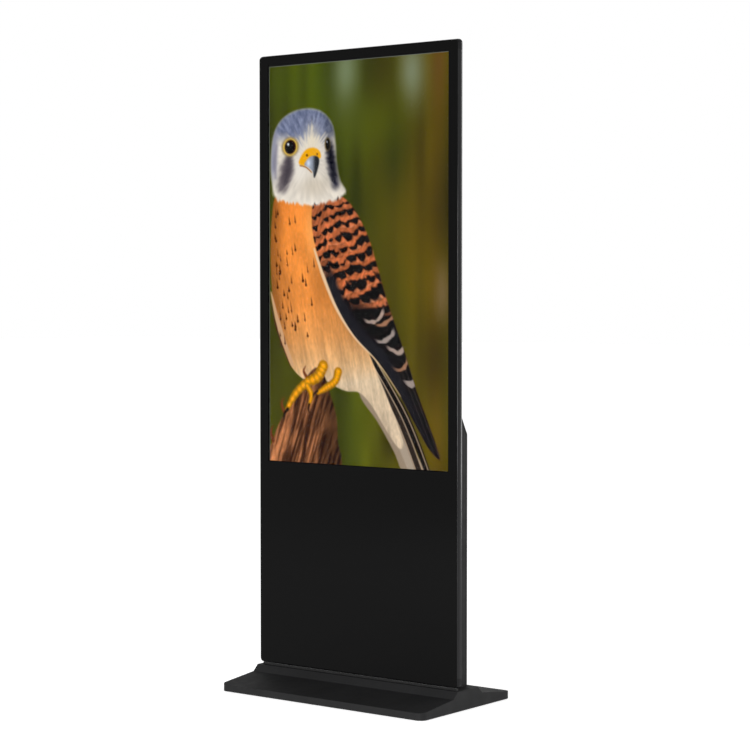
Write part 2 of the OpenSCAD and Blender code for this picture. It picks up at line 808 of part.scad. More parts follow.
module power_supply() {
    x = supply[0];
    z = supply[1];
    y1 = component_y1 + supply[4];
    wall = 1.2;
    color([0.70, 0.71, 0.72]) difference() {
        block([x, component_y1, z], [x + supply[2], y1, z + supply[3]]);
        block([x + wall, component_y1 - 1, z + wall],
            [x + supply[2] - wall, y1 - wall, z + supply[3] - wall]);
        for (i = [0:11], j = [0:4]) bar_y(x + 20 + i * 14, z + 20 + j * 15, 3, y1 - 2, y1 + 1);
    }
    color([0.05, 0.05, 0.05])
        block([x + 10, component_y1 + 2, z - 9], [x + supply[2] - 10, component_y1 + 16, z]);
}

module touch_controller() {
    y0 = component_y1 + standoff_h;
    x = -70;
    z = 370;
    color([0.03, 0.12, 0.30]) block([x, y0, z], [x + 92, y0 + pcb_t, z + 40]);
    color([0.80, 0.65, 0.25]) for (a = [4, 88], b = [4, 36]) bar_y(x + a, z + b, 2.2, component_y1, y0);
    color([0.06, 0.06, 0.06]) {
        block([x + 36, y0 + pcb_t, z + 12], [x + 52, y0 + pcb_t + 1.6, z + 28]);
        block([x + 10, y0 + pcb_t, z + 33], [x + 30, y0 + pcb_t + 4, z + 38]);
    }
}

// Mains leads from the inlet and the switch, the low-voltage lead, and the display's flat cable
module internal_wiring() {
    lead_r = 2.2;
    y = component_y1 + 9;
    supply_x = supply[0] + supply[2] - 20;
    supply_z = supply[1] - 9;
    inlet_y = back_in_y - inlet_d;
    switch_y = back_in_y - switch_d;
    color([0.06, 0.06, 0.06]) {
        wire([[inlet_x, inlet_y, io_z], [inlet_x, inlet_y - 4, io_z], [238, inlet_y - 4, io_z + 20],
            [238, inlet_y - 4, 420], [supply_x, y, 424], [supply_x, y, supply_z]], lead_r);
        wire([[switch_x, switch_y, io_z], [switch_x, y, io_z], [230, y, io_z + 32],
            [230, y, 412], [supply_x - 12, y, 418], [supply_x - 12, y, supply_z]], lead_r);
    }
    low_x = supply[0] - 15;
    color([0.30, 0.05, 0.05]) wire([[supply[0] + 20, y, supply_z], [supply[0] + 20, y, 420],
        [low_x, y, 420], [low_x, y + 3, 472], [board[0] + board[2] - 2, y + 3, 472]], 1.6);
    cable_y = component_y1 + standoff_h + pcb_t;
    top_y = frame_back_y + pcb_t + 1;
    color([0.75, 0.75, 0.72]) along_x(cable_x - 8, cable_x + 8)
        folded([[cable_y, board[1] + board[3] - 10], [cable_y, 640], [top_y, 670],
            [top_y, tcon_z + 3]], -0.8);
}

// ---------- speakers and fans ----------

speaker_d = 28;

module speaker_boxes() {
    y0 = back_in_y - speaker_d;
    color([0.08, 0.08, 0.08]) for (s = [-1, 1]) difference() {
        block([s * speaker_x - speaker_w / 2, y0, vent_z - speaker_h / 2],
            [s * speaker_x + speaker_w / 2, back_in_y, vent_z + speaker_h / 2]);
        translate([s * speaker_x, 0, vent_z]) slab(y0 + 3, back_in_y + 1)
            rounded(speaker_w - 8, speaker_h - 8, 20);
    }
}

module speaker_cones() {
    y0 = back_in_y - speaker_d + 3;
    color([0.04, 0.04, 0.04]) for (s = [-1, 1]) translate([s * speaker_x, y0, vent_z]) {
        for (z = [-18, 18]) translate([0, 0, z]) rotate([-90, 0, 0]) difference() {
            cylinder(r = 17.5, h = 14);
            translate([0, 0, 4]) cylinder(r1 = 5, r2 = 15.5, h = 10 + eps);
        }
    }
}

module fan_housing(s) {
    y0 = back_in_y - fan_d;
    color([0.07, 0.07, 0.07]) translate([s * fan_x, 0, vent_z]) {
        difference() {
            slab(y0, back_in_y) rounded(fan_side, fan_side, 5);
            bar_y(0, 0, fan_r, y0 - 1, back_in_y + 1);
            for (a = [-1, 1], b = [-1, 1])
                bar_y(a * (fan_side / 2 - 4.5), b * (fan_side / 2 - 4.5), cover_screw_r + 0.02,
                    y0 - 1, back_in_y + 1);
        }
        for (a = [0, 90]) rotate([0, a, 0]) block([-fan_r - 1, y0, -2], [fan_r + 1, y0 + 2.5, 2]);
        bar_y(0, 0, fan_hub_r, y0, y0 + 2.5);
        bar_y(0, 0, 3, y0, y0 + 8);
    }
}

module fan_rotor(s) {
    y0 = back_in_y - fan_d + 3.5;
    y1 = back_in_y - 2;
    color([0.09, 0.09, 0.09]) translate([s * fan_x, 0, vent_z]) difference() {
        union() {
            bar_y(0, 0, fan_hub_r, y0, y1);
            for (i = [0:fan_blades - 1]) rotate([0, i * 360 / fan_blades, 0])
                translate([fan_hub_r - 1, (y0 + y1) / 2, 0]) rotate([38, 0, 0])
                    translate([0, -0.7, -10]) cube([fan_r - fan_hub_r - 0.5, 1.4, 20]);
        }
        bar_y(0, 0, 3.1, y0 - 1, y0 + 6);
    }
}

module fan_housing_left() { fan_housing(-1); }

module fan_housing_right() { fan_housing(1); }

module fan_rotor_left() { fan_rotor(-1); }

module fan_rotor_right() { fan_rotor(1); }

// ---------- connection panel ----------

module io_plate() {
    y0 = back_in_y - sheet_t;
    color([0.50, 0.51, 0.52]) difference() {
        translate([0, 0, io_z]) slab(y0, back_in_y) square([io_w + 20, io_h + 10], center = true);
        translate([0, 0, io_z]) slab(y0 - 1, back_in_y + 1) {
            translate([inlet_x, 0]) square([27.4, 20.4], center = true);
            translate([switch_x, 0]) square([14.4, 19.6], center = true);
            translate([button_x, 0]) circle(6.1);
            translate([lan_x, 0]) square([16.4, 13.9], center = true);
            translate([usb_x, 0]) square([14.4, 15.4], center = true);
            translate([hdmi_x, 0]) square([15.6, 6.2], center = true);
            translate([jack_x, 0]) circle(3.6);
            translate([aerial_x, 0]) circle(3.4);
        }
    }
}

module mains_inlet() {
    w = inlet_cavity[0] / 2;
    h = inlet_cavity[2] / 2;
    color([0.05, 0.05, 0.05]) translate([inlet_x, 0, io_z]) difference() {
        union() {
            slab(back_in_y, back_in_y + 2.5) rounded(31, 24, 2);
            slab(back_in_y - inlet_d, back_in_y + eps) square([27, 20], center = true);
        }
        slab(back_in_y + 2.5 - inlet_cavity[1], back_in_y + 3)
            polygon([[-w, -h], [w, -h], [w, h - 4], [w - 4, h], [-w + 4, h], [-w, h - 4]]);
    }
}

// Line, neutral and earth blades, as places on the inlet's face
inlet_pin_places = [[-7, 0], [7, 0], [0, 4]];

module inlet_pins() {
    y0 = back_in_y + 2.5 - inlet_cavity[1];
    color([0.80, 0.70, 0.40]) for (p = inlet_pin_places)
        block([inlet_x + p[0] - 1, y0, io_z + p[1] - 2], [inlet_x + p[0] + 1, y0 + 12, io_z + p[1] + 2]);
}

rocker_y = back_in_y - 3;
rocker_tilt = 9;

module switch_body() {
    color([0.05, 0.05, 0.05]) translate([switch_x, 0, io_z]) difference() {
        union() {
            slab(back_in_y, back_in_y + 1.5) rounded(17, 23, 1.5);
            slab(back_in_y - switch_d, back_in_y + eps) square([14, 19.2], center = true);
        }
        slab(back_in_y - 9, back_in_y + 2) square([11.6, 17.6], center = true);
        translate([0, rocker_y, 0]) rotate([0, 90, 0]) cylinder(r = 1.05, h = 12.8, center = true);
    }
}

module switch_rocker() {
    color([0.45, 0.05, 0.04]) translate([switch_x, rocker_y, io_z]) rotate([rocker_tilt, 0, 0]) {
        along_x(-5.6, 5.6) polygon([[-2.5, -7.8], [-2.5, 7.8], [5.4, 8], [4, 0], [5.4, -8]]);
        rotate([0, 90, 0]) cylinder(r = 1, h = 12.4, center = true);
    }
}

button_travel = 1.5;

module button_housing() {
    color([0.55, 0.56, 0.58]) translate([button_x, 0, io_z]) difference() {
        union() {
            bar_y(0, 0, 8, back_in_y, back_in_y + 1.5);
            bar_y(0, 0, 6, back_in_y - 14, back_in_y + eps);
        }
        bar_y(0, 0, 4.1, back_in_y - 8, back_in_y + 2);
    }
}

module standby_button() {
    color([0.70, 0.71, 0.73]) translate([button_x, 0, io_z])
        bar_y(0, 0, 4.05, back_in_y - 8 + button_travel + 0.3, back_in_y + 3.2);
}

module lan_socket() {
    color([0.68, 0.69, 0.70]) translate([lan_x, 0, io_z]) difference() {
        slab(back_in_y - 15, back_in_y + 1) square([16, 13.5], center = true);
        slab(back_in_y - 11, back_in_y + 2) translate([0, -0.8]) square([12, 8.4], center = true);
        slab(back_in_y - 11, back_in_y + 2) translate([0, 4.2]) square([6, 2], center = true);
    }
}

module data_sockets() {
    // Two stacked sockets, then a flat one
    color([0.70, 0.71, 0.72]) {
        translate([usb_x, 0, io_z]) difference() {
            slab(back_in_y - 13, back_in_y + 1) square([14, 15], center = true);
            for (z = [-3.6, 3.6]) slab(back_in_y - 9, back_in_y + 2)
                translate([0, z]) square([12.6, 5], center = true);
        }
        translate([hdmi_x, 0, io_z]) difference() {
            slab(back_in_y - 11, back_in_y + 1) square([15.2, 5.8], center = true);
            slab(back_in_y - 8, back_in_y + 2) square([14, 4.4], center = true);
        }
    }
    color([0.05, 0.05, 0.05]) {
        translate([usb_x, 0, io_z]) for (z = [-2.6, 4.6]) slab(back_in_y - 9.01, back_in_y - 1)
            translate([0, z]) square([11.4, 1.6], center = true);
        translate([hdmi_x, 0, io_z]) slab(back_in_y - 8.01, back_in_y - 1) square([11, 1.2], center = true);
    }
    // Audio socket and aerial thread
    color([0.80, 0.68, 0.30]) difference() {
        bar_y(jack_x, io_z, 3.4, back_in_y - 12, back_in_y + 2);
        bar_y(jack_x, io_z, 1.8, back_in_y - 10, back_in_y + 3);
    }
    color([0.80, 0.68, 0.30]) difference() {
        union() {
            bar_y(aerial_x, io_z, 3.2, back_in_y - 8, back_in_y + 8);
            bar_y(aerial_x, io_z, 5, back_in_y, back_in_y + 2);
        }
        bar_y(aerial_x, io_z, 2, back_in_y + 2, back_in_y + 9);
    }
}

// ---------- service door ----------

module service_door() {
    color([0.10, 0.10, 0.10]) difference() {
        translate([0, 0, door_mid_z]) {
            slab(back_in_y, back_y) square([leaf_w, leaf_h], center = true);
            slab(back_in_y - rim_d, back_in_y + eps) flat_ring(leaf_w, leaf_h, sheet_t);
        }
        for (s = [-1, 1]) translate([s * door_w / 4, 0, door_z + 60]) slab(back_in_y - 1, back_y + 1)
            slot_column(90, 4, 10, 6);
        bar_y(lock_x, lock_z, lock_r + 0.05, back_in_y - 1, back_y + 1);
    }
}

// A hinge leaf that runs from the knuckles towards +X, beside the pin's axis
module hinge_leaf(side, spans, bore_r, lower) {
    difference() {
        union() {
            for (z = spans) translate([0, 0, z[0]]) {
                cylinder(r = knuckle_r, h = z[1] - z[0]);
                block([side > 0 ? 0 : -knuckle_r - 1.5, -knuckle_r + 0.2 - lower, 0],
                    [side > 0 ? knuckle_r + 1.5 : 0, -knuckle_r + hinge_leaf_t - lower, z[1] - z[0]]);
            }
            block([side > 0 ? knuckle_r + 1 : -hinge_leaf_w, -knuckle_r - 0.3, 0],
                [side > 0 ? hinge_leaf_w : -knuckle_r - 1, -knuckle_r - 0.3 + hinge_leaf_t, hinge_h]);
        }
        translate([0, 0, -1]) cylinder(r = bore_r, h = hinge_h + 2);
    }
}

third = hinge_h / 3;

module at_hinges() {
    for (z = hinge_places) translate([hinge_x, hinge_y, z - hinge_h / 2]) children();
}

module hinge_fixed_leaves() {
    color([0.12, 0.12, 0.12]) at_hinges()
        hinge_leaf(1, [[0, third - knuckle_gap], [2 * third + knuckle_gap, hinge_h]], pin_r + 0.02, 0);
}

module hinge_door_leaves() {
    color([0.12, 0.12, 0.12]) at_hinges()
        hinge_leaf(-1, [[third + knuckle_gap, 2 * third - knuckle_gap]], pin_r + 0.06, 0);
}

module hinge_pins() {
    color([0.70, 0.70, 0.72]) at_hinges() {
        translate([0, 0, -0.5]) cylinder(r = pin_r, h = hinge_h + 1);
        for (z = [-1.5, hinge_h]) translate([0, 0, z]) cylinder(r = pin_r + 1, h = 1.5);
    }
}

module lock_body() {
    color([0.75, 0.76, 0.78]) difference() {
        union() {
            bar_y(lock_x, lock_z, lock_head_r, back_y, back_y + 2.5);
            bar_y(lock_x, lock_z, lock_r, back_y - lock_l, back_y + eps);
            bar_y(lock_x, lock_z, lock_r + 4, back_in_y - 4, back_in_y);
        }
        bar_y(lock_x, lock_z, lock_plug_r + 0.05, back_y - lock_l - 1, back_y + 3);
    }
}

// The turning plug with its keyway, and the cam on its inner end, hanging down when unlocked
module lock_plug() {
    color([0.80, 0.81, 0.82]) {
        difference() {
            bar_y(lock_x, lock_z, lock_plug_r, cam_y1, back_y + 2.2);
            block([lock_x - 0.8, back_y - 8, lock_z - 3.5], [lock_x + 0.8, back_y + 3, lock_z + 3.5]);
        }
        difference() {
            bar_y(lock_x, lock_z, 7.5, cam_y1 - cam_t, cam_y1 + eps);
            bar_y(lock_x, lock_z, 2, cam_y1 - cam_t - 1, cam_y1 - 1);
        }
        block([lock_x - cam_w / 2, cam_y1 - cam_t, lock_z - cam_l], [lock_x + cam_w / 2, cam_y1, lock_z]);
    }
}

// Bracket beside the opening, with a lip that the turned cam slides behind
module lock_strike() {
    x1 = -door_w / 2 - 3;
    color([0.60, 0.61, 0.62]) {
        block([x1 - 14, back_in_y - sheet_t, lock_z - 20], [x1, back_in_y, lock_z + 20]);
        block([x1 - sheet_t, strike_y, lock_z - 20], [x1, back_in_y - sheet_t + eps, lock_z + 20]);
    }
}

base_plate();
base_cover();
base_feet();
base_screws();
upright_left();
upright_right();
upright_bolts();
plinth_gasket();
frame_left();
frame_right();
frame_top();
frame_bottom();
corner_caps();
corner_brackets();
front_glass();
glass_tape();
lower_liner();
lcd_gasket();
lcd_bezel();
lcd_cell();
optical_films();
light_guide();
led_bars();
lcd_tray();
display_rails();
tcon_board();
rear_cover();
cabinet_side_left();
cabinet_side_right();
cabinet_bottom();
back_panel();
cover_screws();
component_plate();
media_board();
heat_sink();
power_supply();
touch_controller();
internal_wiring();
speaker_boxes();
speaker_cones();
fan_housing_left();
fan_housing_right();
fan_rotor_left();
fan_rotor_right();
io_plate();
mains_inlet();
inlet_pins();
switch_body();
switch_rocker();
button_housing();
standby_button();
lan_socket();
data_sockets();
service_door();
hinge_fixed_leaves();
hinge_door_leaves();
hinge_pins();
lock_body();
lock_plug();
lock_strike();
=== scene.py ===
import math

import bmesh
import bpy
import numpy as np
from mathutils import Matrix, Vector


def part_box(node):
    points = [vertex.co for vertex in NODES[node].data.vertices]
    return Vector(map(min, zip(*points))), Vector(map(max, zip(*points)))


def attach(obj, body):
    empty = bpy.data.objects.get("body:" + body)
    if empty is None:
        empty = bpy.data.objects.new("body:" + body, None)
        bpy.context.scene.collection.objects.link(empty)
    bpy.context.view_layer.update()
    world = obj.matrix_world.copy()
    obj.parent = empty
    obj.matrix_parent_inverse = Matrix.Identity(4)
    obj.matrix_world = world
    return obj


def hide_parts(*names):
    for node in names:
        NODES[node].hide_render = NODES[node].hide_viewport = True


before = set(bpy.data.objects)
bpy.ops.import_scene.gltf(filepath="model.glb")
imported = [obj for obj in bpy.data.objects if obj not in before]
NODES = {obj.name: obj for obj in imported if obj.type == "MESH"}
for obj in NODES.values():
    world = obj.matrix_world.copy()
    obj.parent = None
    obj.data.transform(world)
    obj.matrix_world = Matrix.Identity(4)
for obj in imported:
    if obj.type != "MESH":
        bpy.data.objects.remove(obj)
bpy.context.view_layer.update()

# Lengths in the scene are in metres. Lit area of the screen: its half width, lower edge and upper edge
LIT_X = 0.3402
LIT_Z0, LIT_Z1 = 0.6964, 1.906

VIEW_PLACE = (3.8868, -4.9560, 1.2023)
VIEW_ANGLES = (87.86, 0.0, 37.82)
VIEW_LENS, SENSOR = 100.67, 36.0
FLOOR_HALF, FLOOR_LIGHT = 40, 0.62
# Brightness of the surroundings against the height a ray climbs
SKY = [(0.22, (1.0, 1.0, 1.0)), (0.55, (0.62, 0.62, 0.62)), (1.0, (0.4, 0.4, 0.4))]


# ---------- camera, floor and light ----------

def make_camera():
    data = bpy.data.cameras.new("view_camera")
    data.lens, data.sensor_width = VIEW_LENS, SENSOR
    cam = bpy.data.objects.new("view_camera", data)
    cam.location = VIEW_PLACE
    cam.rotation_euler = [math.radians(a) for a in VIEW_ANGLES]
    bpy.context.collection.objects.link(cam)
    bpy.context.scene.camera = cam


def make_world():
    """White at the horizon and dimmer overhead, so that level faces are the darkest ones."""
    world = bpy.data.worlds.new("studio")
    bpy.context.scene.world = world
    world.use_nodes = True
    tree = world.node_tree
    axes = tree.nodes.new("ShaderNodeSeparateXYZ")
    tree.links.new(tree.nodes.new("ShaderNodeTexCoord").outputs["Generated"], axes.inputs[0])
    tree.links.new(ramp(tree, axes.outputs["Z"], SKY), tree.nodes["Background"].inputs["Color"])


def soft_box(name, place, aim, size, power):
    data = bpy.data.lights.new(name, "AREA")
    data.shape, data.size, data.size_y = "RECTANGLE", size[0], size[1]
    data.energy = power
    lamp = bpy.data.objects.new(name, data)
    lamp.location = place
    lamp.rotation_euler = (Vector(aim) - Vector(place)).to_track_quat("-Z", "Y").to_euler()
    bpy.context.collection.objects.link(lamp)


def make_floor():
    bm = bmesh.new()
    bmesh.ops.create_grid(bm, x_segments=4, y_segments=4, size=FLOOR_HALF)
    me = bpy.data.meshes.new("studio_floor")
    bm.to_mesh(me)
    bm.free()
    floor = bpy.data.objects.new("studio_floor", me)
    bpy.context.collection.objects.link(floor)
    tree, shader = material("floor_paper", rough=0.9, specular=0.1)
    tone = ramp(tree, noise(tree, 3, 2), [(0.35, (0.79, 0.79, 0.79)), (0.65, (0.81, 0.81, 0.81))])
    tree.links.new(tone, shader.inputs["Base Color"])
    shader.inputs["Emission Color"].default_value = (1, 1, 1, 1)
    shader.inputs["Emission Strength"].default_value = FLOOR_LIGHT
    me.materials.append(bpy.data.materials["floor_paper"])


# ---------- material parts ----------

PLAIN = {"rough": "Roughness", "metal": "Metallic", "specular": "Specular IOR Level", "ior": "IOR",
         "clear": "Transmission Weight", "sheen": "Sheen Weight", "light": "Emission Strength"}


def material(name, colour=None, **values):
    """A new material: its node tree and its shader, with plain values on the shader's own sockets."""
    mat = bpy.data.materials.new(name)
    mat.use_nodes = True
    shader = mat.node_tree.nodes["Principled BSDF"]
    if colour:
        shader.inputs["Base Color"].default_value = (*colour, 1)
        mat.diffuse_color = (*colour, 1)
    for key, value in values.items():
        shader.inputs[PLAIN[key]].default_value = value
    return mat.node_tree, shader


def place(tree, stretch=(1, 1, 1)):
    """The object's own coordinates, in metres, stretched along each axis."""
    coord = tree.nodes.new("ShaderNodeTexCoord")
    if tuple(stretch) == (1, 1, 1):
        return coord.outputs["Object"]
    scale = tree.nodes.new("ShaderNodeVectorMath")
    scale.operation = "MULTIPLY"
    scale.inputs[1].default_value = stretch
    tree.links.new(coord.outputs["Object"], scale.inputs[0])
    return scale.outputs["Vector"]


def noise(tree, scale, detail=2, stretch=(1, 1, 1), rough=0.5):
    tex = tree.nodes.new("ShaderNodeTexNoise")
    tex.inputs["Scale"].default_value = scale
    tex.inputs["Detail"].default_value = detail
    tex.inputs["Roughness"].default_value = rough
    tree.links.new(place(tree, stretch), tex.inputs["Vector"])
    return tex.outputs["Fac"]


def cells(tree, scale, feature="F1", stretch=(1, 1, 1), output="Distance"):
    tex = tree.nodes.new("ShaderNodeTexVoronoi")
    tex.feature = feature
    tex.inputs["Scale"].default_value = scale
    tree.links.new(place(tree, stretch), tex.inputs["Vector"])
    return tex.outputs[output]


def ramp(tree, factor, stops, step=False):
    node = tree.nodes.new("ShaderNodeValToRGB")
    node.color_ramp.interpolation = "CONSTANT" if step else "LINEAR"
    points = node.color_ramp.elements
    while len(points) < len(stops):
        points.new(0.5)
    for point, (at, colour) in zip(points, stops):
        point.position = at
        point.color = (*colour, 1)
    tree.links.new(factor, node.inputs["Fac"])
    return node.outputs["Color"]


def spread(tree, factor, low, high):
    """The factor's middle range, drawn out to low and high."""
    node = tree.nodes.new("ShaderNodeMapRange")
    node.inputs["From Min"].default_value, node.inputs["From Max"].default_value = 0.3, 0.7
    node.inputs["To Min"].default_value, node.inputs["To Max"].default_value = low, high
    tree.links.new(factor, node.inputs["Value"])
    return node.outputs["Result"]


def mixed(tree, factor, a, b, how="MIX"):
    node = tree.nodes.new("ShaderNodeMix")
    node.data_type, node.blend_type = "RGBA", how
    for socket, value in ((node.inputs[0], factor), (node.inputs[6], a), (node.inputs[7], b)):
        if isinstance(value, bpy.types.NodeSocket):
            tree.links.new(value, socket)
        else:
            socket.default_value = value if isinstance(value, float) else (*value, 1)
    return node.outputs[2]


def maths(tree, how, a, b=0.0):
    node = tree.nodes.new("ShaderNodeMath")
    node.operation = how
    for socket, value in zip(node.inputs, (a, b)):
        if isinstance(value, bpy.types.NodeSocket):
            tree.links.new(value, socket)
        else:
            socket.default_value = value
    return node.outputs[0]


def bump(tree, shader, height, depth, strength=1.0):
    node = tree.nodes.new("ShaderNodeBump")
    node.inputs["Strength"].default_value = strength
    node.inputs["Distance"].default_value = depth
    tree.links.new(height, node.inputs["Height"])
    tree.links.new(node.outputs["Normal"], shader.inputs["Normal"])


def wire_up(tree, shader, colour=None, rough=None):
    if colour is not None:
        tree.links.new(colour, shader.inputs["Base Color"])
    if rough is not None:
        tree.links.new(rough, shader.inputs["Roughness"])


def axis_of(tree, axis, stretch=(1, 1, 1)):
    node = tree.nodes.new("ShaderNodeSeparateXYZ")
    tree.links.new(place(tree, stretch), node.inputs[0])
    return node.outputs[axis]


# ---------- materials ----------

def powder_coat(name, dark, light, rough=(0.62, 0.74), specular=0.14):
    """Fine-textured powder coat, with an attribute that lightens the worn bends of a softened sheet."""
    tree, shader = material(name, dark, specular=specular)
    tone = ramp(tree, noise(tree, 7, 4), [(0.3, dark), (0.7, light)])
    speck = ramp(tree, noise(tree, 900, 1), [(0.62, (0, 0, 0)), (0.74, (1, 1, 1))])
    tone = mixed(tree, maths(tree, "MULTIPLY", speck, 0.25), tone, [2.2 * c for c in light])
    edge = tree.nodes.new("ShaderNodeAttribute")
    edge.attribute_name = "worn"
    worn = maths(tree, "MULTIPLY", edge.outputs["Fac"], spread(tree, noise(tree, 60, 3), 0.0, 0.2))
    tone = mixed(tree, worn, tone, [3.0 * c + 0.01 for c in light])
    wire_up(tree, shader, tone, spread(tree, noise(tree, 23, 4), *rough))
    bump(tree, shader, noise(tree, 1100, 2), 0.00006, 0.6)


def anodised(name, along, dark, light, specular):
    """Black anodised extrusion with faint drawing lines along one axis."""
    fine = [900 if a != along else 6 for a in range(3)]
    tree, shader = material(name, dark, specular=specular)
    lines = noise(tree, 1, 3, stretch=fine)
    wire_up(tree, shader, ramp(tree, lines, [(0.35, dark), (0.65, light)]),
            spread(tree, noise(tree, 1, 2, stretch=[0.2 * f + 4 for f in fine]), 0.12, 0.17))
    bump(tree, shader, lines, 0.00002, 0.5)


def bare_metal(name, dark, light, along, rough=(0.25, 0.42)):
    """Drawn or ground metal with lines along one axis and a few smudges."""
    fine = [700 if a != along else 9 for a in range(3)]
    tree, shader = material(name, light, metal=1.0)
    lines = noise(tree, 1, 4, stretch=fine)
    smudge = spread(tree, noise(tree, 14, 3), 0.0, 0.35)
    tone = mixed(tree, smudge, ramp(tree, lines, [(0.3, dark), (0.7, light)]), dark)
    wire_up(tree, shader, tone, spread(tree, noise(tree, 31, 3), *rough))
    bump(tree, shader, lines, 0.00003, 0.5)


def zinc_plate(name):
    """Zinc plating: soft spangle in slightly different greys, with a blue cast."""
    tree, shader = material(name, (0.55, 0.57, 0.60), metal=1.0)
    spangle = cells(tree, 130, output="Color")
    grey = ramp(tree, spangle, [(0.2, (0.40, 0.41, 0.43)), (0.8, (0.49, 0.50, 0.52))])
    stain = ramp(tree, noise(tree, 11, 4), [(0.35, (0.80, 0.80, 0.78)), (0.7, (1.0, 1.0, 1.0))])
    tone = mixed(tree, 1.0, grey, stain, "MULTIPLY")
    wire_up(tree, shader, tone, spread(tree, noise(tree, 40, 3), 0.24, 0.46))
    bump(tree, shader, noise(tree, 350, 3), 0.00003, 0.4)


def mill_scale(name):
    """Hot-rolled ballast plate: blue-grey scale with thin brown stains."""
    tree, shader = material(name, (0.06, 0.06, 0.065), metal=0.6)
    scale = ramp(tree, noise(tree, 18, 6, rough=0.62),
                 [(0.3, (0.035, 0.037, 0.042)), (0.7, (0.09, 0.09, 0.092))])
    rust = ramp(tree, noise(tree, 55, 5, rough=0.7), [(0.60, (0, 0, 0)), (0.72, (1, 1, 1))])
    wire_up(tree, shader, mixed(tree, maths(tree, "MULTIPLY", rust, 0.6), scale, (0.11, 0.045, 0.02)),
            spread(tree, noise(tree, 33, 4), 0.45, 0.75))
    bump(tree, shader, noise(tree, 420, 4), 0.0001, 0.6)


def moulded(name, dark, light, rough=(0.38, 0.55), grain=1500, specular=0.5):
    """Injection-moulded plastic with a fine spark-eroded grain."""
    tree, shader = material(name, dark, specular=specular)
    wire_up(tree, shader, ramp(tree, noise(tree, 60, 3), [(0.3, dark), (0.7, light)]),
            spread(tree, noise(tree, 210, 2), *rough))
    bump(tree, shader, noise(tree, grain, 2), 0.00004, 0.5)


def rubber_like(name, dark=(0.012, 0.012, 0.012), light=(0.03, 0.029, 0.028)):
    tree, shader = material(name, dark, specular=0.3, sheen=0.15)
    dust = ramp(tree, noise(tree, 90, 5, rough=0.65), [(0.4, dark), (0.75, light)])
    wire_up(tree, shader, dust, spread(tree, noise(tree, 300, 2), 0.72, 0.92))
    bump(tree, shader, noise(tree, 1300, 2), 0.00008, 0.7)


def clear_glass(name):
    """The window of the anti-reflection glass. Its few smudges only change how rough it is."""
    tree, shader = material(name, (1, 1, 1), clear=1.0, ior=1.05, rough=0.01)
    wire_up(tree, shader, None, spread(tree, noise(tree, 5, 5, rough=0.6), 0.004, 0.02))


def printed_glass(name):
    """Glass over its black print: deep black, with a faint clear reflection."""
    tree, shader = material(name, (0.0006, 0.0006, 0.0006), specular=0.075)
    ink = ramp(tree, noise(tree, 1600, 1),
               [(0.3, (0.0004, 0.0004, 0.0004)), (0.7, (0.0008, 0.0008, 0.0008))])
    wire_up(tree, shader, ink, spread(tree, noise(tree, 5, 5, rough=0.6), 0.02, 0.06))


def circuit_board(name, mask_dark, mask_light, face_y):
    """Solder mask with traces, pads and vias below face_y, and dark moulded parts above it."""
    tree, shader = material(name, mask_dark, specular=0.5)
    weave = ramp(tree, noise(tree, 240, 3), [(0.35, mask_dark), (0.65, mask_light)])
    lanes = cells(tree, 1, "DISTANCE_TO_EDGE", stretch=(95, 1, 95))
    lane = ramp(tree, lanes, [(0.03, (1, 1, 1)), (0.06, (0, 0, 0))])
    board = mixed(tree, maths(tree, "MULTIPLY", lane, 0.5), weave, [2.4 * c for c in mask_light])
    dots = cells(tree, 1, "F1", stretch=(210, 1, 210))
    pad = ramp(tree, dots, [(0.16, (1, 1, 1)), (0.20, (0, 0, 0))])
    fitted = ramp(tree, noise(tree, 45, 2), [(0.46, (0, 0, 0)), (0.5, (1, 1, 1))])
    pad = maths(tree, "MULTIPLY", pad, fitted)
    board = mixed(tree, pad, board, (0.62, 0.50, 0.26))
    above = maths(tree, "GREATER_THAN", axis_of(tree, 1), face_y + 0.0002)
    part = ramp(tree, cells(tree, 1, output="Color", stretch=(26, 1, 26)),
                [(0.0, (0.012, 0.012, 0.013)), (0.62, (0.02, 0.02, 0.022)), (0.74, (0.40, 0.41, 0.43))],
                step=True)
    wire_up(tree, shader, mixed(tree, above, board, part), spread(tree, noise(tree, 120, 3), 0.28, 0.5))
    bump(tree, shader, maths(tree, "ADD", lane, pad), 0.00005, 0.4)


def cable_sheath(name):
    """Black mains leads, a dark red low-voltage lead and a pale flat cable, told apart by their places."""
    tree, shader = material(name, (0.015, 0.015, 0.015))
    flat = maths(tree, "GREATER_THAN", axis_of(tree, 2), FLAT_CABLE_Z)
    red = maths(tree, "MULTIPLY", maths(tree, "LESS_THAN", axis_of(tree, 0), LOW_LEAD_X),
                maths(tree, "GREATER_THAN", axis_of(tree, 2), LOW_LEAD_Z))
    black = ramp(tree, noise(tree, 180, 3), [(0.3, (0.010, 0.010, 0.011)), (0.7, (0.022, 0.022, 0.022))])
    lines = ramp(tree, maths(tree, "FRACT", maths(tree, "MULTIPLY", axis_of(tree, 0), 1000.0)),
                 [(0.0, (0.50, 0.50, 0.47)), (0.75, (0.30, 0.30, 0.28))], step=True)
    tone = mixed(tree, red, black, (0.16, 0.012, 0.010))
    wire_up(tree, shader, mixed(tree, flat, tone, lines), spread(tree, noise(tree, 260, 2), 0.35, 0.55))
    bump(tree, shader, noise(tree, 900, 2), 0.00004, 0.4)


def cone_paper(name):
    tree, shader = material(name, (0.03, 0.03, 0.03), specular=0.25, sheen=0.2)
    fibre = noise(tree, 1, 4, stretch=(500, 200, 500), rough=0.7)
    wire_up(tree, shader, ramp(tree, fibre, [(0.3, (0.012, 0.012, 0.012)), (0.7, (0.04, 0.038, 0.036))]),
            spread(tree, fibre, 0.6, 0.9))
    bump(tree, shader, fibre, 0.00012, 0.6)


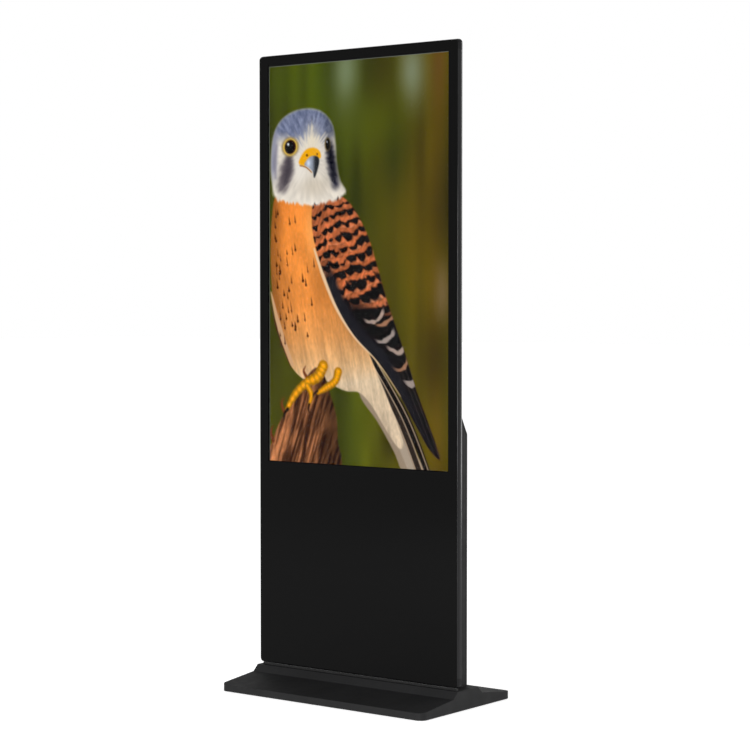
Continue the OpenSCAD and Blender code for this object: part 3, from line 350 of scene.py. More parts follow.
def led_board(name):
    """White strip with yellow phosphor windows, one pitch for each light-emitting diode."""
    tree, shader = material(name, (0.8, 0.8, 0.8), specular=0.5)
    white = ramp(tree, noise(tree, 300, 2), [(0.3, (0.68, 0.69, 0.68)), (0.7, (0.80, 0.80, 0.79))])
    window = maths(tree, "GREATER_THAN", noise(tree, 160, 0), 0.56)
    wire_up(tree, shader, mixed(tree, window, white, (0.75, 0.55, 0.10)),
            spread(tree, noise(tree, 200, 2), 0.3, 0.5))


def film(name, tone, rough):
    tree, shader = material(name, tone, specular=0.5)
    wire_up(tree, shader, ramp(tree, noise(tree, 120, 3), [(0.3, [0.93 * c for c in tone]), (0.7, tone)]),
            spread(tree, noise(tree, 500, 2), *rough))


def clear_sheet(name):
    tree, shader = material(name, (0.95, 0.97, 0.97), clear=1.0, ior=1.49, rough=0.08)
    wire_up(tree, shader, None, spread(tree, noise(tree, 70, 3), 0.05, 0.14))


def socket_shell(name, lip_y):
    """Nickel-plated socket shells that are black behind the lip: partly the black plastic insulator, partly
    painted shade inside the opening.
    """
    tree, shader = material(name, (0.55, 0.54, 0.52), metal=1.0)
    lines = noise(tree, 1, 4, stretch=(700, 9, 700))
    # Black behind the lip: the insulator's own colour and painted shade on the shell's inner walls.
    deep_insulator_and_shade = maths(tree, "LESS_THAN", axis_of(tree, 1), lip_y)
    nickel = ramp(tree, lines, [(0.3, (0.42, 0.42, 0.41)), (0.7, (0.66, 0.65, 0.63))])
    wire_up(tree, shader, mixed(tree, deep_insulator_and_shade, nickel, (0.012, 0.012, 0.013)), spread(tree, lines, 0.2, 0.4))
    bump(tree, shader, lines, 0.00003, 0.5)


def chrome(name):
    tree, shader = material(name, (0.62, 0.62, 0.63), metal=1.0)
    wear = noise(tree, 160, 4, rough=0.65)
    wire_up(tree, shader, ramp(tree, wear, [(0.35, (0.50, 0.50, 0.51)), (0.6, (0.70, 0.70, 0.71))]),
            spread(tree, noise(tree, 420, 3), 0.08, 0.26))
    bump(tree, shader, noise(tree, 900, 2), 0.00001, 0.4)


# Depth of the boards' faces, places that tell the leads apart, and a socket's lip
BOARD_FACE_Y, TIMING_FACE_Y = 0.0151, -0.0274
FLAT_CABLE_Z, LOW_LEAD_X, LOW_LEAD_Z = 0.5475, 0.060, 0.4155
SOCKET_LIP = 0.0007
GREEN_MASK = ((0.006, 0.052, 0.022), (0.010, 0.085, 0.036))
BLUE_MASK = ((0.006, 0.022, 0.075), (0.012, 0.040, 0.125))
ALONG_X, ALONG_Y, ALONG_Z = 0, 1, 2


def make_materials():
    powder_coat("black_powder_coat", (0.0094, 0.0094, 0.0097), (0.0128, 0.0128, 0.0132))
    powder_coat("liner_paint", (0.006, 0.006, 0.006), (0.009, 0.009, 0.009))
    anodised("black_anodised_upright", ALONG_Z, (0.0060, 0.0060, 0.0065), (0.0105, 0.0105, 0.0111), 0.20)
    # The level rails' copy of the anodised finish is darker, with less specular: painted shade on the top and
    # bottom rails.
    anodised("black_anodised_shaded_level", ALONG_X, (0.0035, 0.0035, 0.0037), (0.0055, 0.0055, 0.0058), 0.02)
    anodised("black_anodised_corner", ALONG_Y, (0.0060, 0.0060, 0.0064), (0.0100, 0.0100, 0.0105), 0.12)
    mill_scale("ballast_plate")
    rubber_like("black_rubber")
    # Darker than the rubber. On the plinth gasket this black stands for painted shade in the gap under the
    # frame.
    rubber_like("black_foam_tape_and_gap_shade", (0.005, 0.005, 0.005), (0.010, 0.010, 0.010))
    zinc_plate("zinc_plated_steel")
    bare_metal("black_oxide", (0.012, 0.012, 0.013), (0.045, 0.045, 0.048), ALONG_Y, (0.3, 0.5))
    bare_metal("drawn_tube", (0.20, 0.20, 0.205), (0.36, 0.365, 0.37), ALONG_Z)
    bare_metal("mill_aluminium", (0.52, 0.53, 0.54), (0.74, 0.75, 0.76), ALONG_X)
    bare_metal("nickel_shell", (0.42, 0.42, 0.41), (0.66, 0.65, 0.63), ALONG_Y, (0.18, 0.34))
    bare_metal("blade_brass", (0.48, 0.34, 0.14), (0.72, 0.56, 0.27), ALONG_Y, (0.16, 0.32))
    socket_shell("nickel_socket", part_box("data_sockets")[1][1] - SOCKET_LIP)
    socket_shell("nickel_network_socket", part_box("lan_socket")[1][1] - SOCKET_LIP)
    chrome("lock_chrome_plate")
    clear_glass("clear_touch_glass")
    printed_glass("black_printed_glass")
    circuit_board("green_solder_mask", *GREEN_MASK, BOARD_FACE_Y)
    circuit_board("green_timing_mask", *GREEN_MASK, TIMING_FACE_Y)
    circuit_board("blue_solder_mask", *BLUE_MASK, BOARD_FACE_Y)
    cable_sheath("cable_sheath")
    moulded("black_moulding", (0.010, 0.010, 0.010), (0.017, 0.017, 0.0175))
    moulded("red_moulding", (0.24, 0.010, 0.008), (0.33, 0.018, 0.012), (0.22, 0.36))
    cone_paper("pressed_paper")
    led_board("led_board")
    film("white_film", (0.82, 0.82, 0.82), (0.5, 0.7))
    film("cell_glass", (0.010, 0.010, 0.012), (0.1, 0.2))
    clear_sheet("clear_sheet")


SLOT_MATERIALS = {
    "black_sheet_steel": "black_powder_coat", "ballast_steel": "ballast_plate", "rubber": "black_rubber",
    "plated_steel": "zinc_plated_steel", "black_screws": "black_oxide", "upright_steel": "drawn_tube",
    "frame_aluminium": "black_anodised_upright", "plain_aluminium": "mill_aluminium",
    "front_glass": "black_printed_glass", "glass_tape": "black_foam_tape_and_gap_shade", "liner_steel": "liner_paint",
    "display_cell": "cell_glass", "diffuser_film": "white_film", "clear_acrylic": "clear_sheet",
    "led_strip": "led_board", "green_board": "green_solder_mask", "blue_board": "blue_solder_mask",
    "cable_jacket": "cable_sheath", "black_plastic": "black_moulding", "speaker_paper": "pressed_paper",
    "pin_brass": "blade_brass", "red_plastic": "red_moulding", "socket_steel": "nickel_shell",
    "lock_chrome": "lock_chrome_plate"}
# frame_top and frame_bottom take the darker anodised copy: painted shade.
NODE_MATERIALS = {"frame_top": "black_anodised_shaded_level", "frame_bottom": "black_anodised_shaded_level",
                  "corner_caps": "black_anodised_corner", "tcon_board": "green_timing_mask",
                  # plinth_gasket takes the darker foam-tape black: painted shade in the gap under the frame.
                  "plinth_gasket": "black_foam_tape_and_gap_shade",
                  "data_sockets": "nickel_socket", "lan_socket": "nickel_network_socket"}


def dress_nodes():
    """Puts the materials into the slots that the nodes came with."""
    for name, node in NODES.items():
        for held in node.material_slots:
            slot_name = held.material.name.split(".")[0]
            held.material = bpy.data.materials[NODE_MATERIALS.get(name, SLOT_MATERIALS[slot_name])]


# ---------- pieces ----------

def piece(name, me, mat, body, replaces=()):
    me.materials.clear()
    me.materials.append(bpy.data.materials[mat])
    obj = bpy.data.objects.new(name, me)
    bpy.context.collection.objects.link(obj)
    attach(obj, body)
    if replaces:
        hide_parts(*replaces)
    return obj


LEAST_BEND, BEND_STEPS = 0.012, 3


def bent_edges(bm):
    """The long edges where two faces meet at an angle."""
    return [e for e in bm.edges if len(e.link_faces) == 2 and e.calc_length() >= LEAST_BEND
            and e.calc_face_angle(0) >= math.radians(3)]


def soften(node, name, slot, body, radius):
    """A folded sheet as the press brake leaves it: a CAD node's mesh with its bends rounded inwards."""
    bm = bmesh.new()
    bm.from_mesh(NODES[node].data)
    bmesh.ops.remove_doubles(bm, verts=bm.verts, dist=1e-6)
    bmesh.ops.dissolve_limit(bm, angle_limit=math.radians(0.5), verts=bm.verts, edges=bm.edges)
    done = bmesh.ops.bevel(bm, geom=bent_edges(bm), offset=radius, offset_type="OFFSET",
                           segments=BEND_STEPS, profile=0.5, affect="EDGES", clamp_overlap=True,
                           harden_normals=False)
    bm.faces.index_update()
    bends = {f.index for f in done["faces"]}
    for f in bm.faces:
        f.smooth = True
    for e in bm.edges:
        e.smooth = e.calc_face_angle(0) < math.radians(32) if len(e.link_faces) == 2 else False
    me = bpy.data.meshes.new(name)
    bm.to_mesh(me)
    bm.free()
    worn = me.attributes.new("worn", "FLOAT", "CORNER")
    values = np.zeros(len(me.loops), np.float32)
    for f in me.polygons:
        if f.index in bends:
            values[f.loop_start:f.loop_start + f.loop_total] = 1.0
    worn.data.foreach_set("value", values)
    obj = piece(name, me, SLOT_MATERIALS[slot], body, [node])
    obj.modifiers.new("flat_faces", "WEIGHTED_NORMAL").keep_sharp = True


def face_outwards(me):
    bm = bmesh.new()
    bm.from_mesh(me)
    bmesh.ops.recalc_face_normals(bm, faces=bm.faces)
    bm.to_mesh(me)
    bm.free()


def rounded_outline(x, z0, z1, r, y, steps=8):
    """A rounded rectangle about X = 0 at depth y."""
    out = []
    centres = ((x - r, z1 - r), (-x + r, z1 - r), (-x + r, z0 + r), (x - r, z0 + r))
    for (cx, cz), start in zip(centres, (0, 90, 180, 270)):
        for k in range(steps + 1):
            a = math.radians(start + 90 * k / steps)
            out.append((cx + r * math.cos(a), y, cz + r * math.sin(a)))
    return out


def make_glass():
    """Touch glass with ground edges. Its black print is open in front of the lit area."""
    low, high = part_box("front_glass")
    window, ground, corner = 0.0019, 0.0005, 0.0089  # beyond the lit area, edge chamfer, corner radius
    edge = [rounded_outline(high[0] - g, low[2] + g, high[2] - g, corner - g, y)
            for g, y in ((ground, low[1]), (0, low[1] + ground), (0, high[1] - ground), (ground, high[1]))]
    front, back = (rounded_outline(LIT_X + window, LIT_Z0 - window, LIT_Z1 + window, 0.0006, y)
                   for y in (low[1], high[1]))
    rings = [front, *edge, back]
    n = len(front)
    faces = [(i + n * k, (i + 1) % n + n * k, (i + 1) % n + n * (k + 1), i + n * (k + 1))
             for k in range(len(rings) - 1) for i in range(n)]
    faces += [tuple(range(n)), tuple(range(n * (len(rings) - 1), n * len(rings)))]
    me = bpy.data.meshes.new("touch_glass")
    me.from_pydata([v for ring in rings for v in ring], [], faces)
    face_outwards(me)
    piece("touch_glass", me, "black_printed_glass", "kiosk", ["front_glass"])
    me.materials.append(bpy.data.materials["clear_touch_glass"])
    for f in me.polygons[-2:]:
        f.material_index = 1


# ---------- the picture on the screen ----------

PICTURE_W, PICTURE_H = 680.4, 1209.6  # millimetres
COLS, ROWS, FINE = 230, 409, 2  # squares of the grid, and samples across each
RIM_STEPS = np.array([0.0016, 0.0014, 0.0002])  # how far the grid's extra lines lie outside the lit area
# Grey glow in the ring just outside the lit area: a painted highlight along the panel's edge.
RIM_PAINTED_HIGHLIGHT = (0.15, 0.16, 0.14)
GLASS_VEIL = 0.008  # what the glass reflects, taken off the picture


def smooth_line(points, closed=True, steps=6):
    """A soft curve through the points."""
    p = np.array(points, float)
    n = len(p)
    out = []
    for i in range(n if closed else n - 1):
        a, b, c, d = (p[(i + k) % n] if closed else p[min(max(i + k, 0), n - 1)] for k in (-1, 0, 1, 2))
        for k in range(steps):
            t = k / steps
            out.append(0.5 * (2 * b + (c - a) * t + (2 * a - 5 * b + 4 * c - d) * t * t
                              + (3 * b - a - 3 * c + d) * t ** 3))
    if not closed:
        out.append(p[-1])
    return np.array(out)


def step_up(low, high, value):
    t = np.clip((value - low) / (high - low), 0, 1)
    return t * t * (3 - 2 * t)


def cloud(x, y, seed):
    """Smooth random values from 0 to 1 on a lattice of one unit."""
    table = np.random.default_rng(seed).random((64, 64))
    xi, yi = np.floor(x).astype(int), np.floor(y).astype(int)
    fx, fy = step_up(0, 1, x - xi), step_up(0, 1, y - yi)
    x0, x1, y0, y1 = xi % 64, (xi + 1) % 64, yi % 64, (yi + 1) % 64
    top = table[y0, x0] * (1 - fx) + table[y0, x1] * fx
    low = table[y1, x0] * (1 - fx) + table[y1, x1] * fx
    return top * (1 - fy) + low * fy


class Painting:
    """A canvas in millimetres from the picture's upper left corner, painted in screen colours."""

    def __init__(self):
        xs = (np.arange((COLS + 1) * FINE) + 0.5) / ((COLS + 1) * FINE) * PICTURE_W
        ys = (np.arange((ROWS + 1) * FINE) + 0.5) / ((ROWS + 1) * FINE) * PICTURE_H
        self.x, self.y = np.meshgrid(xs, ys)
        self.rgb = np.zeros((*self.x.shape, 3))

    def paint(self, mask, colour):
        m = np.clip(mask, 0, 1)[..., None]
        self.rgb = self.rgb * (1 - m) + np.asarray(colour, float) * m

    def shade(self, mask, amount):
        """Multiplies what is painted by 1 + amount where the mask is 1."""
        self.rgb = np.clip(self.rgb * (1 + (mask * amount)[..., None]), 0, 255)

    def distance(self, line, closed=True):
        """Distance to a line, negative inside a closed one, and how far along it, from 0 to 1."""
        best = np.full(self.x.shape, 1e12)
        along = np.zeros(self.x.shape)
        inside = np.zeros(self.x.shape, bool)
        ends = np.roll(line, -1, 0) if closed else line[1:]
        for i, ((x0, y0), (x1, y1)) in enumerate(zip(line, ends)):
            ex, ey = x1 - x0, y1 - y0
            t = np.clip(((self.x - x0) * ex + (self.y - y0) * ey) / (ex * ex + ey * ey + 1e-9), 0, 1)
            d = (self.x - x0 - t * ex) ** 2 + (self.y - y0 - t * ey) ** 2
            near = d < best
            best = np.where(near, d, best)
            along = np.where(near, (i + t) / len(ends), along)
            if closed:
                cuts = (y0 > self.y) != (y1 > self.y)
                inside ^= cuts & (self.x < x0 + (self.y - y0) * ex / (ey if ey else 1e-9))
        return np.where(inside, -1, 1) * np.sqrt(best), along

    def area(self, points, soft=2.5):
        return step_up(soft, -soft, self.distance(smooth_line(points))[0])

    def brush(self, points, widths, colour, soft=2.0, strength=1.0):
        """A stroke along the points, with its half width drawn from one end's to the other's."""
        d, t = self.distance(smooth_line(points, closed=False), closed=False)
        wide = np.interp(t, np.linspace(0, 1, len(widths)), widths)
        mask = strength * step_up(soft, -soft, d - wide)
        self.paint(mask, colour)
        return mask

    def glow(self, cx, cy, sx, sy, colour, strength):
        self.paint(strength * np.exp(-((self.x - cx) / sx) ** 2 - ((self.y - cy) / sy) ** 2), colour)

    def disc(self, cx, cy, rx, ry, colour, soft=1.5, tilt=0.0):
        c, s = math.cos(tilt), math.sin(tilt)
        u = ((self.x - cx) * c + (self.y - cy) * s) / rx
        v = ((self.y - cy) * c - (self.x - cx) * s) / ry
        self.paint(step_up(1 + soft / min(rx, ry), 1 - soft / min(rx, ry), np.hypot(u, v)), colour)


# Colours across the backdrop, and its soft spots: centre, reach, colour and strength
REEDS = [(0, (60, 66, 14)), (110, (70, 78, 16)), (220, (58, 68, 16)), (330, (74, 80, 22)),
         (430, (74, 72, 14)), (520, (78, 72, 12)), (600, (90, 76, 16)), (645, (82, 66, 20)),
         (680, (70, 62, 18))]
SPOTS = [(300, 30, 52, 120, (124, 138, 104), 0.85), (545, 50, 52, 110, (128, 138, 112), 0.85),
         (640, 20, 26, 130, (86, 56, 30), 0.55), (60, 50, 90, 70, (70, 84, 16), 0.5),
         (480, 300, 46, 150, (38, 48, 6), 0.6), (655, 690, 30, 95, (138, 114, 84), 0.6),
         (540, 520, 90, 190, (100, 82, 14), 0.6), (390, 190, 130, 90, (86, 96, 26), 0.5),
         (430, 700, 70, 220, (84, 78, 14), 0.5), (90, 960, 150, 260, (72, 68, 12), 0.65),
         (40, 1000, 60, 150, (72, 74, 14), 0.6), (470, 1130, 30, 60, (36, 32, 12), 0.6),
         (560, 1100, 40, 120, (96, 84, 22), 0.5), (330, 1090, 60, 70, (74, 80, 18), 0.5)]


def across(at, value, tones):
    """The tone at each value, drawn out between the tones given."""
    return np.stack([np.interp(value, at, [t[k] for t in tones]) for k in range(3)], -1)


def paint_backdrop(p):
    """Blurred upright reeds in olive and brown."""
    bend = p.x + 26 * (cloud(p.x / 160, p.y / 420, 1) - 0.5) + 18 * (cloud(p.x / 45, p.y / 900, 2) - 0.5)
    p.rgb = across([at for at, _ in REEDS], bend, [tone for _, tone in REEDS])
    p.shade(cloud(p.x / 34, p.y / 330 + 9, 3) - 0.5, 0.32)
    p.shade(cloud(p.x / 90, p.y / 220 + 4, 4) - 0.5, 0.5)
    for spot in SPOTS:
        p.glow(*spot)


# Outlines of the bird and its perch
TAIL = [(372, 900), (430, 985), (505, 1085), (575, 1180), (618, 1240), (588, 1262), (520, 1230), (480, 1160),
        (420, 1075), (350, 990)]
BODY = [(30, 392), (12, 450), (5, 560), (10, 680), (30, 790), (62, 878), (100, 930), (148, 958), (200, 948),
        (246, 968), (300, 986), (352, 990), (400, 1030), (452, 1098), (500, 1150), (512, 1120), (450, 990),
        (392, 880), (340, 770), (312, 620), (300, 500), (276, 405), (200, 375), (100, 375)]
WING = [(172, 428), (205, 402), (268, 398), (322, 432), (378, 512), (414, 600), (446, 690), (486, 790),
        (528, 888), (566, 985), (612, 1085), (648, 1172), (612, 1150), (560, 1078), (500, 990), (430, 905),
        (350, 838), (290, 772), (238, 690), (200, 600), (172, 510)]
HEAD = [(24, 402), (10, 350), (7, 288), (16, 218), (44, 170), (92, 144), (150, 136), (206, 148), (246, 186),
        (260, 240), (264, 300), (276, 352), (298, 392), (240, 418), (150, 426), (74, 416)]
STUMP = [(150, 945), (186, 918), (214, 938), (238, 992), (262, 1058), (268, 1130), (262, 1230), (-20, 1230),
         (10, 1150), (40, 1088), (72, 1048), (118, 1002)]


def paint_tail(p):
    """Pale and dark tail feathers with thin light edges."""
    p.paint(p.area(TAIL), (150, 132, 112))
    for ends, wide, tone in (([(352, 880), (470, 1060), (560, 1240)], (16, 18, 12), (168, 152, 134)),
                             ([(372, 880), (500, 1060), (588, 1250)], (14, 15, 10), (46, 38, 34)),
                             ([(392, 890), (520, 1050), (618, 1244)], (12, 13, 9), (24, 20, 22))):
        p.brush(ends, wide, tone)
    for shift in (0, 24, 46):
        quill = [(362 + shift, 885), (486 + shift, 1060), (574 + shift, 1240)]
        p.brush(quill, (1.6, 1.4), (196, 170, 140), 1.2)


def paint_body(p):
    """Orange breast that fades to a cream belly, with feather streaks and small dark flecks."""
    mask = p.area(BODY)
    at = (380, 520, 740, 850, 930, 1000, 1130)
    tones = ((216, 122, 48), (226, 134, 56), (218, 134, 62), (222, 152, 86), (226, 176, 122), (224, 198, 164),
             (206, 184, 156))
    p.paint(mask, across(at, p.y + 0.12 * p.x, tones))
    streak = cloud((p.x - 0.22 * p.y) / 5, (p.y + 0.2 * p.x) / 46, 5) - 0.5
    p.shade(mask * streak * step_up(500, 950, p.y), 0.16)
    p.shade(mask * (cloud((p.x - 0.3 * p.y) / 26, p.y / 110, 6) - 0.5), 0.20)
    p.shade(mask * (cloud(p.x / 4, p.y / 9, 26) - 0.5), 0.10)
    p.shade(mask * step_up(80, 0, p.x), -0.30)
    lit = np.exp(-((p.x - 168 - 0.1 * (p.y - 500)) / 26) ** 2 - ((p.y - 510) / 80) ** 2)
    p.paint(mask * 0.6 * lit, (238, 164, 92))
    p.shade(mask * np.exp(-((p.x - 110) / 60) ** 2 - ((p.y - 560) / 150) ** 2), 0.14)
    p.shade(mask * step_up(150, 330, p.x) * step_up(1000, 700, p.y), -0.18)
    p.brush([(6, 690), (40, 800), (92, 912)], (2, 9, 5), (204, 160, 120), 2)
    p.brush([(2, 712), (32, 812), (86, 922)], (1.5, 2.5, 1.5), (70, 46, 36), 1.5)
    draw = np.random.default_rng(11)
    for _ in range(64):
        x, y = draw.uniform(18, 190), draw.uniform(440, 850)
        long, wide = draw.uniform(5, 13), draw.uniform(2.2, 4.6)
        if abs(x - 130 + 0.1 * (y - 600)) < 30 and y < 560 or x > 215 - 0.16 * (y - 440):
            continue
        p.disc(x, y + long * 0.4, wide, wide * 1.1, (50, 26, 16), 1.4)
        p.disc(x - 1, y - long * 0.4, wide * 0.5, long, (86, 42, 20), 1.4, -0.16)


# Pale feather tips: distance along the wing and across it, and half length, with the tones they take in turn
TIPS = ((418, -6, 46), (452, 22, 44), (498, 0, 44), (540, 22, 40), (590, 6, 38), (640, 16, 30))
TIP_TONES = ((196, 172, 156), (186, 132, 98), (182, 166, 156))


def paint_wing(p):
    """Rows of rufous feathers with dark bars, then long dark primaries with pale tips and edges."""
    d, _ = p.distance(smooth_line(WING))
    mask = step_up(2.5, -2.5, d)
    ax, ay = 0.492, 0.871
    s = (p.x - 215) * ax + (p.y - 405) * ay
    t = (p.x - 215) * ay - (p.y - 405) * ax
    s = s + 22 * (cloud(p.x / 46, p.y / 46, 7) - 0.5) + 3 * (cloud(p.x / 9, p.y / 9, 27) - 0.5)
    rows = 17.0 * np.log1p(np.maximum(s - 0.20 * t + 30, 0) / 430)
    row = np.floor(rows)
    b = rows - row
    a = t / (22 + 1.5 * row) + 0.5 * (row % 2) + 0.3 * np.sin(row * 1.7)
    a = a + 0.5 * (cloud(p.x / 50, p.y / 50, 17) - 0.5)
    col = np.floor(a)
    a = a - col - 0.5
    scallop = b + 0.8 * a * a
    lot = np.random.default_rng(21).random((64, 64, 3))[row.astype(int) % 64, col.astype(int) % 64]
    p.paint(mask, across((0, 260, 470), s, ((176, 96, 58), (196, 104, 60), (168, 98, 66))))
    p.shade(mask * (lot[..., 2] - 0.5), 0.22)
    p.shade(mask * (cloud((p.x + 0.4 * p.y) / 4, (p.y - 0.4 * p.x) / 22, 8) - 0.5), 0.4)
    p.shade(mask * step_up(0.16, 0.0, scallop) * step_up(60, 200, s), -0.35)
    bar = 0.5 - np.abs(scallop - 0.62 - 0.10 * lot[..., 1]) * 1.05 - 0.6 * a * a
    bar = bar + 0.30 * (cloud(p.x / 11, p.y / 9, 16) - 0.5) + 0.24 * (lot[..., 0] - 0.5)
    least = np.interp(s + 0.5 * t, (0, 140, 330, 460), (0.32, 0.23, 0.13, -0.04))
    p.paint(mask * step_up(least - 0.08, least + 0.06, bar), (22, 15, 17))
    p.paint(mask * step_up(0.92, 1.02, scallop) * step_up(20, 160, s) * 0.6 * lot[..., 2], (222, 152, 110))
    far = mask * step_up(350, 430, s - 0.9 * t)
    p.paint(far * 0.96, (20, 17, 20))
    for k, (s0, t0, reach) in enumerate(TIPS):
        arc = s - s0 + 0.016 * (t - t0) ** 2 - 0.1 * (t - t0)
        thin = 4.5 + 7 * cloud(t / 9 + 7 * k, s / 60, 30)
        tip = mask * step_up(thin, thin - 3, np.abs(arc)) * step_up(reach, reach - 16, np.abs(t - t0))
        p.paint(tip * 0.85, TIP_TONES[k % 3])
    edge = np.abs(((t + 0.06 * s) / 15 + 40) % 1 - 0.5)
    p.paint(far * step_up(0.07, 0.01, edge) * step_up(520, 620, s) * 0.7, (136, 122, 112))
    lower = step_up(30, 8, np.abs(d + 18)) * step_up(6, -34, t)
    p.paint(mask * lower * step_up(150, 250, s), (26, 26, 31))
    barbs = mask * step_up(1.6, 0.2, np.abs(((d + 60) / 8) % 1 - 0.5) * 8) * lower * step_up(200, 260, s)
    p.paint(barbs * 0.35, (92, 88, 92))
    p.brush([(178, 560), (212, 640), (262, 736), (330, 822), (420, 898), (505, 996)], (3, 6, 5, 3, 2, 1),
            (230, 196, 156), 2.5)


# Dark stripes under the eyes: path, half widths, colour and strength
STRIPES = (([(80, 270), (72, 312), (52, 366)], (8, 26, 20), (92, 84, 90), 0.9),
           ([(80, 270), (76, 312), (64, 352)], (6, 15, 8), (58, 52, 60), 0.75),
           ([(238, 240), (246, 300), (262, 366)], (8, 17, 12), (40, 40, 56), 0.95),
           ([(238, 250), (246, 300), (256, 350)], (5, 11, 6), (14, 14, 22), 0.95))


def paint_head(p):
    """Slate crown and nape, pale cheeks, dark stripes under the eyes."""
    d, _ = p.distance(smooth_line(HEAD))
    ruffled = 10 * (cloud(p.x / 6, p.y / 30, 18) - 0.5) * step_up(370, 405, p.y)
    mask = step_up(6, -6, d + ruffled)
    p.paint(mask, (220, 212, 200))
    turn, out = np.arctan2(p.y - 286, p.x - 158), np.hypot(p.x - 158, p.y - 286)
    down = cloud(turn * 17, out / 24, 9) - 0.5  # feathers that lie outwards from the beak
    p.shade(mask * down, 0.13)
    crown_edge = 222 + 20 * np.cos((p.x - 150) / 60) - 38 * np.exp(-((p.x - 162) / 36) ** 2)
    crown_edge = crown_edge + 60 * down * step_up(120, 60, np.abs(p.x - 150))
    crown = mask * step_up(24, -24, p.y - crown_edge)
    mottle = 46 * down + 22 * (cloud(p.x / 5, p.y / 7, 10) - 0.5)
    p.paint(crown, np.array((112, 120, 148)) + mottle[..., None])
    p.shade(crown * step_up(190, 250, p.x), -0.22)
    nape = mask * step_up(44, 16, p.x + 0.05 * (p.y - 280)) * step_up(380, 300, p.y)
    p.paint(nape * 0.85, (132, 134, 156))
    p.shade(mask * step_up(370, 420, p.y), 0.06)
    p.shade(mask * step_up(200, 262, p.x) * step_up(400, 330, p.y), -0.16)
    p.glow(178, 372, 70, 34, (196, 182, 160), 0.5)
    p.glow(120, 320, 26, 40, (238, 232, 222), 0.6)
    p.glow(172, 228, 30, 40, (236, 222, 188), 0.55)
    for ends, wide, tone, weight in STRIPES:
        d, along = p.distance(smooth_line(ends, closed=False), closed=False)
        reach = np.interp(along, (0, 0.5, 1), wide) + 9 * down
        p.paint(mask * weight * step_up(14, -14, d - reach), tone)
    p.brush([(30, 242), (22, 292), (26, 340)], (3, 7, 3), (120, 116, 132), 6, 0.6)
    p.disc(84, 248, 34, 30, (150, 128, 84), 6)
    p.disc(84, 248, 28.5, 26, (214, 178, 78), 2)
    p.disc(84, 248, 22.5, 22, (44, 22, 12), 2)
    p.disc(82, 249, 16, 16.5, (6, 5, 6), 3)
    p.disc(76, 240, 4.2, 4.2, (228, 232, 238), 1.8)
    p.disc(230, 246, 11, 20, (110, 92, 50), 3)
    p.disc(231, 246, 8, 17, (10, 8, 10), 2)
    p.disc(228, 239, 2, 2.6, (200, 205, 215), 1.4)


CERE = [(118, 300), (128, 276), (148, 258), (176, 254), (198, 264), (204, 284), (184, 292), (150, 306)]
HOOK = [(148, 292), (164, 280), (188, 280), (198, 292), (194, 314), (184, 338), (177, 344), (172, 326),
        (154, 312), (140, 304)]


def paint_beak(p):
    """Yellow cere with its nostrils, and a grey hook that darkens to the tip."""
    p.paint(p.area(CERE), (238, 168, 24))
    mask = p.area(HOOK, 2)
    p.paint(mask, (142, 150, 164))
    p.shade(mask * step_up(168, 186, p.x), -0.72)
    p.shade(mask * step_up(318, 350, p.y), -0.65)
    p.shade(mask * np.exp(-((p.x - 156) / 8) ** 2 - ((p.y - 300) / 12) ** 2), 0.45)
    p.brush([(122, 306), (146, 312), (168, 328)], (1.6, 1.8, 1.4), (150, 84, 20), 1.4)
    p.disc(150, 276, 4, 3.4, (70, 34, 10), 1.4)
    p.disc(190, 274, 3, 3, (84, 44, 12), 1.4)


def paint_stump(p):
    """Weathered broken branch, lit from the left."""
    mask = p.area(STUMP)
    u, v = (p.x + 0.34 * (p.y - 930)), p.y
    grain = cloud(u / 6, v / 60, 12) * 0.6 + cloud(u / 15, v / 120, 13) * 0.4
    dark, light = np.array((70, 42, 28)), np.array((178, 114, 72))
    p.paint(mask, dark + (light - dark) * step_up(0.2, 0.8, grain)[..., None])
    cracks = step_up(0.30, 0.18, cloud(u / 9, v / 85, 14))
    p.paint(mask * cracks * 0.7, (40, 22, 14))
    p.shade(mask * (cloud(u / 4, v / 12, 32) - 0.5), 0.35)
    p.shade(mask * step_up(150, 262, p.x), -0.5)
    p.shade(mask * step_up(90, 0, p.x - 0.4 * (1210 - p.y)), 0.16)
    p.brush([(60, 1060), (48, 1030), (60, 1012)], (6, 4, 1), (120, 60, 32), 2)
    p.brush([(14, 1146), (4, 1120), (16, 1100)], (7, 5, 1), (104, 52, 30), 2)
    p.brush([(150, 950), (136, 930), (144, 914)], (6, 4, 1), (116, 60, 34), 2)


def paint_feet(p):
    """Ringed yellow toes with dark claws."""
    for path, wide in (([(270, 930), (258, 958), (220, 980), (192, 994)], (15, 13, 11, 6)),
                       ([(212, 914), (190, 946), (142, 968), (100, 1004), (68, 1050)], (19, 18, 14, 13, 7)),
                       ([(150, 974), (166, 1000), (158, 1030)], (10, 9, 5))):
        d, t = p.distance(smooth_line(path, closed=False), closed=False)
        w = np.interp(t, np.linspace(0, 1, len(wide)), wide)
        mask = step_up(2, -2, d - w)
        p.paint(mask, (240, 162, 22))
        p.shade(mask * step_up(0.1, 0.9, d / w), -0.34)
        p.shade(mask * np.cos(t * 70), 0.10)
    p.brush([(72, 1048), (58, 1064), (58, 1082)], (6, 4, 1), (30, 24, 22), 1.5)
    p.brush([(190, 990), (176, 998), (172, 1008)], (4, 3, 1), (34, 26, 22), 1.5)
    p.brush([(158, 1030), (154, 1046), (160, 1056)], (4, 3, 1), (30, 24, 22), 1.5)


def painted_colours():
    """The picture's linear colours at the grid's corners, upper left first."""
    p = Painting()
    for layer in (paint_backdrop, paint_tail, paint_body, paint_wing, paint_head, paint_beak, paint_stump,
                  paint_feet):
        layer(p)
    rgb = p.rgb.reshape(ROWS + 1, FINE, COLS + 1, FINE, 3).mean((1, 3)) / 255
    linear = np.where(rgb <= 0.04045, rgb / 12.92, ((rgb + 0.055) / 1.055) ** 2.4)
    return np.clip(linear - GLASS_VEIL, 0, 1)


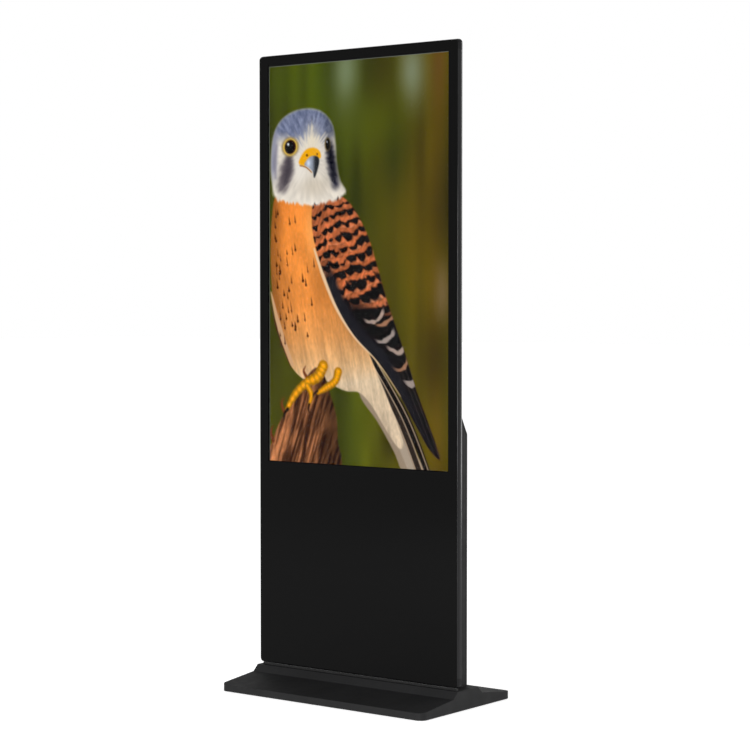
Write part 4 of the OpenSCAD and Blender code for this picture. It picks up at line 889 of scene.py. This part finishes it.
def screen_material(name):
    """Black cell glass that glows with the picture held in the mesh."""
    tree, shader = material(name, (0.0006, 0.0006, 0.0007), specular=0.075, light=1.0)
    look = tree.nodes.new("ShaderNodeAttribute")
    look.attribute_name = "picture"
    tree.links.new(look.outputs["Color"], shader.inputs["Emission Color"])
    wire_up(tree, shader, None, spread(tree, noise(tree, 5, 5, rough=0.6), 0.02, 0.06))


def make_picture():
    """The display cell: a closed slab whose front carries the lit picture on a fine grid."""
    screen_material("lit_picture")
    low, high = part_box("lcd_cell")
    xs = np.concatenate([[low[0]], -LIT_X - RIM_STEPS, np.linspace(-LIT_X, LIT_X, COLS + 1),
                         LIT_X + RIM_STEPS[::-1], [high[0]]])
    zs = np.concatenate([[high[2]], LIT_Z1 + RIM_STEPS, np.linspace(LIT_Z1, LIT_Z0, ROWS + 1),
                         LIT_Z0 - RIM_STEPS[::-1], [low[2]]])
    nx, nz = len(xs), len(zs)
    front = [(x, low[1], z) for z in zs for x in xs]
    rim = [i for i in range(nx)] + [r * nx + nx - 1 for r in range(1, nz)]
    rim += [(nz - 1) * nx + i for i in range(nx - 2, -1, -1)] + [r * nx for r in range(nz - 2, 0, -1)]
    back = [(front[i][0], high[1], front[i][2]) for i in rim]
    faces = [(r * nx + c, (r + 1) * nx + c, (r + 1) * nx + c + 1, r * nx + c + 1)
             for r in range(nz - 1) for c in range(nx - 1)]
    base = len(front)
    m = len(rim)
    faces += [(rim[i], rim[(i + 1) % m], base + (i + 1) % m, base + i) for i in range(m)]
    faces.append(tuple(base + i for i in range(m)))
    me = bpy.data.meshes.new("screen_picture")
    me.from_pydata(front + back, [], faces)
    colours = np.zeros((len(front) + len(back), 4), np.float32)
    colours[:, 3] = 1
    lit = np.zeros((nz, nx, 3), np.float32)
    # The ring around the lit area glows grey: painted highlight.
    lit[2:-4, 2:-2] = RIM_PAINTED_HIGHLIGHT
    lit[4:-4, 4:-4] = painted_colours()
    colours[:len(front), :3] = lit.reshape(-1, 3)
    held = me.attributes.new("picture", "FLOAT_COLOR", "POINT")
    held.data.foreach_set("color", colours.ravel())
    face_outwards(me)
    piece("screen_picture", me, "lit_picture", "kiosk", ["lcd_cell"])


# ---------- the scene ----------

# Folded sheets: node, body and the radius of their bends
SHEETS = [("base_cover", "kiosk", 0.0016), ("rear_cover", "kiosk", 0.0009), ("back_panel", "kiosk", 0.0009),
          ("service_door", "door", 0.0009), ("cabinet_side_left", "kiosk", 0.0009),
          ("cabinet_side_right", "kiosk", 0.0009)]


def make_sheet_metal():
    for node, body, radius in SHEETS:
        soften(node, node + "_sheet", "black_sheet_steel", body, radius)


make_camera()
make_world()
make_materials()
make_floor()
soft_box("key_box", place=(3.65, 4.0, 1.9), aim=(0.38, 0.0, 1.0), size=(0.8, 3.8), power=103)
soft_box("front_box", place=(0.6, -4.6, 1.0), aim=(0.0, 0.0, 0.4), size=(2.2, 1.5), power=160)
dress_nodes()
make_glass()
make_picture()
make_sheet_metal()

bpy.context.scene.view_settings.view_transform = "Standard"
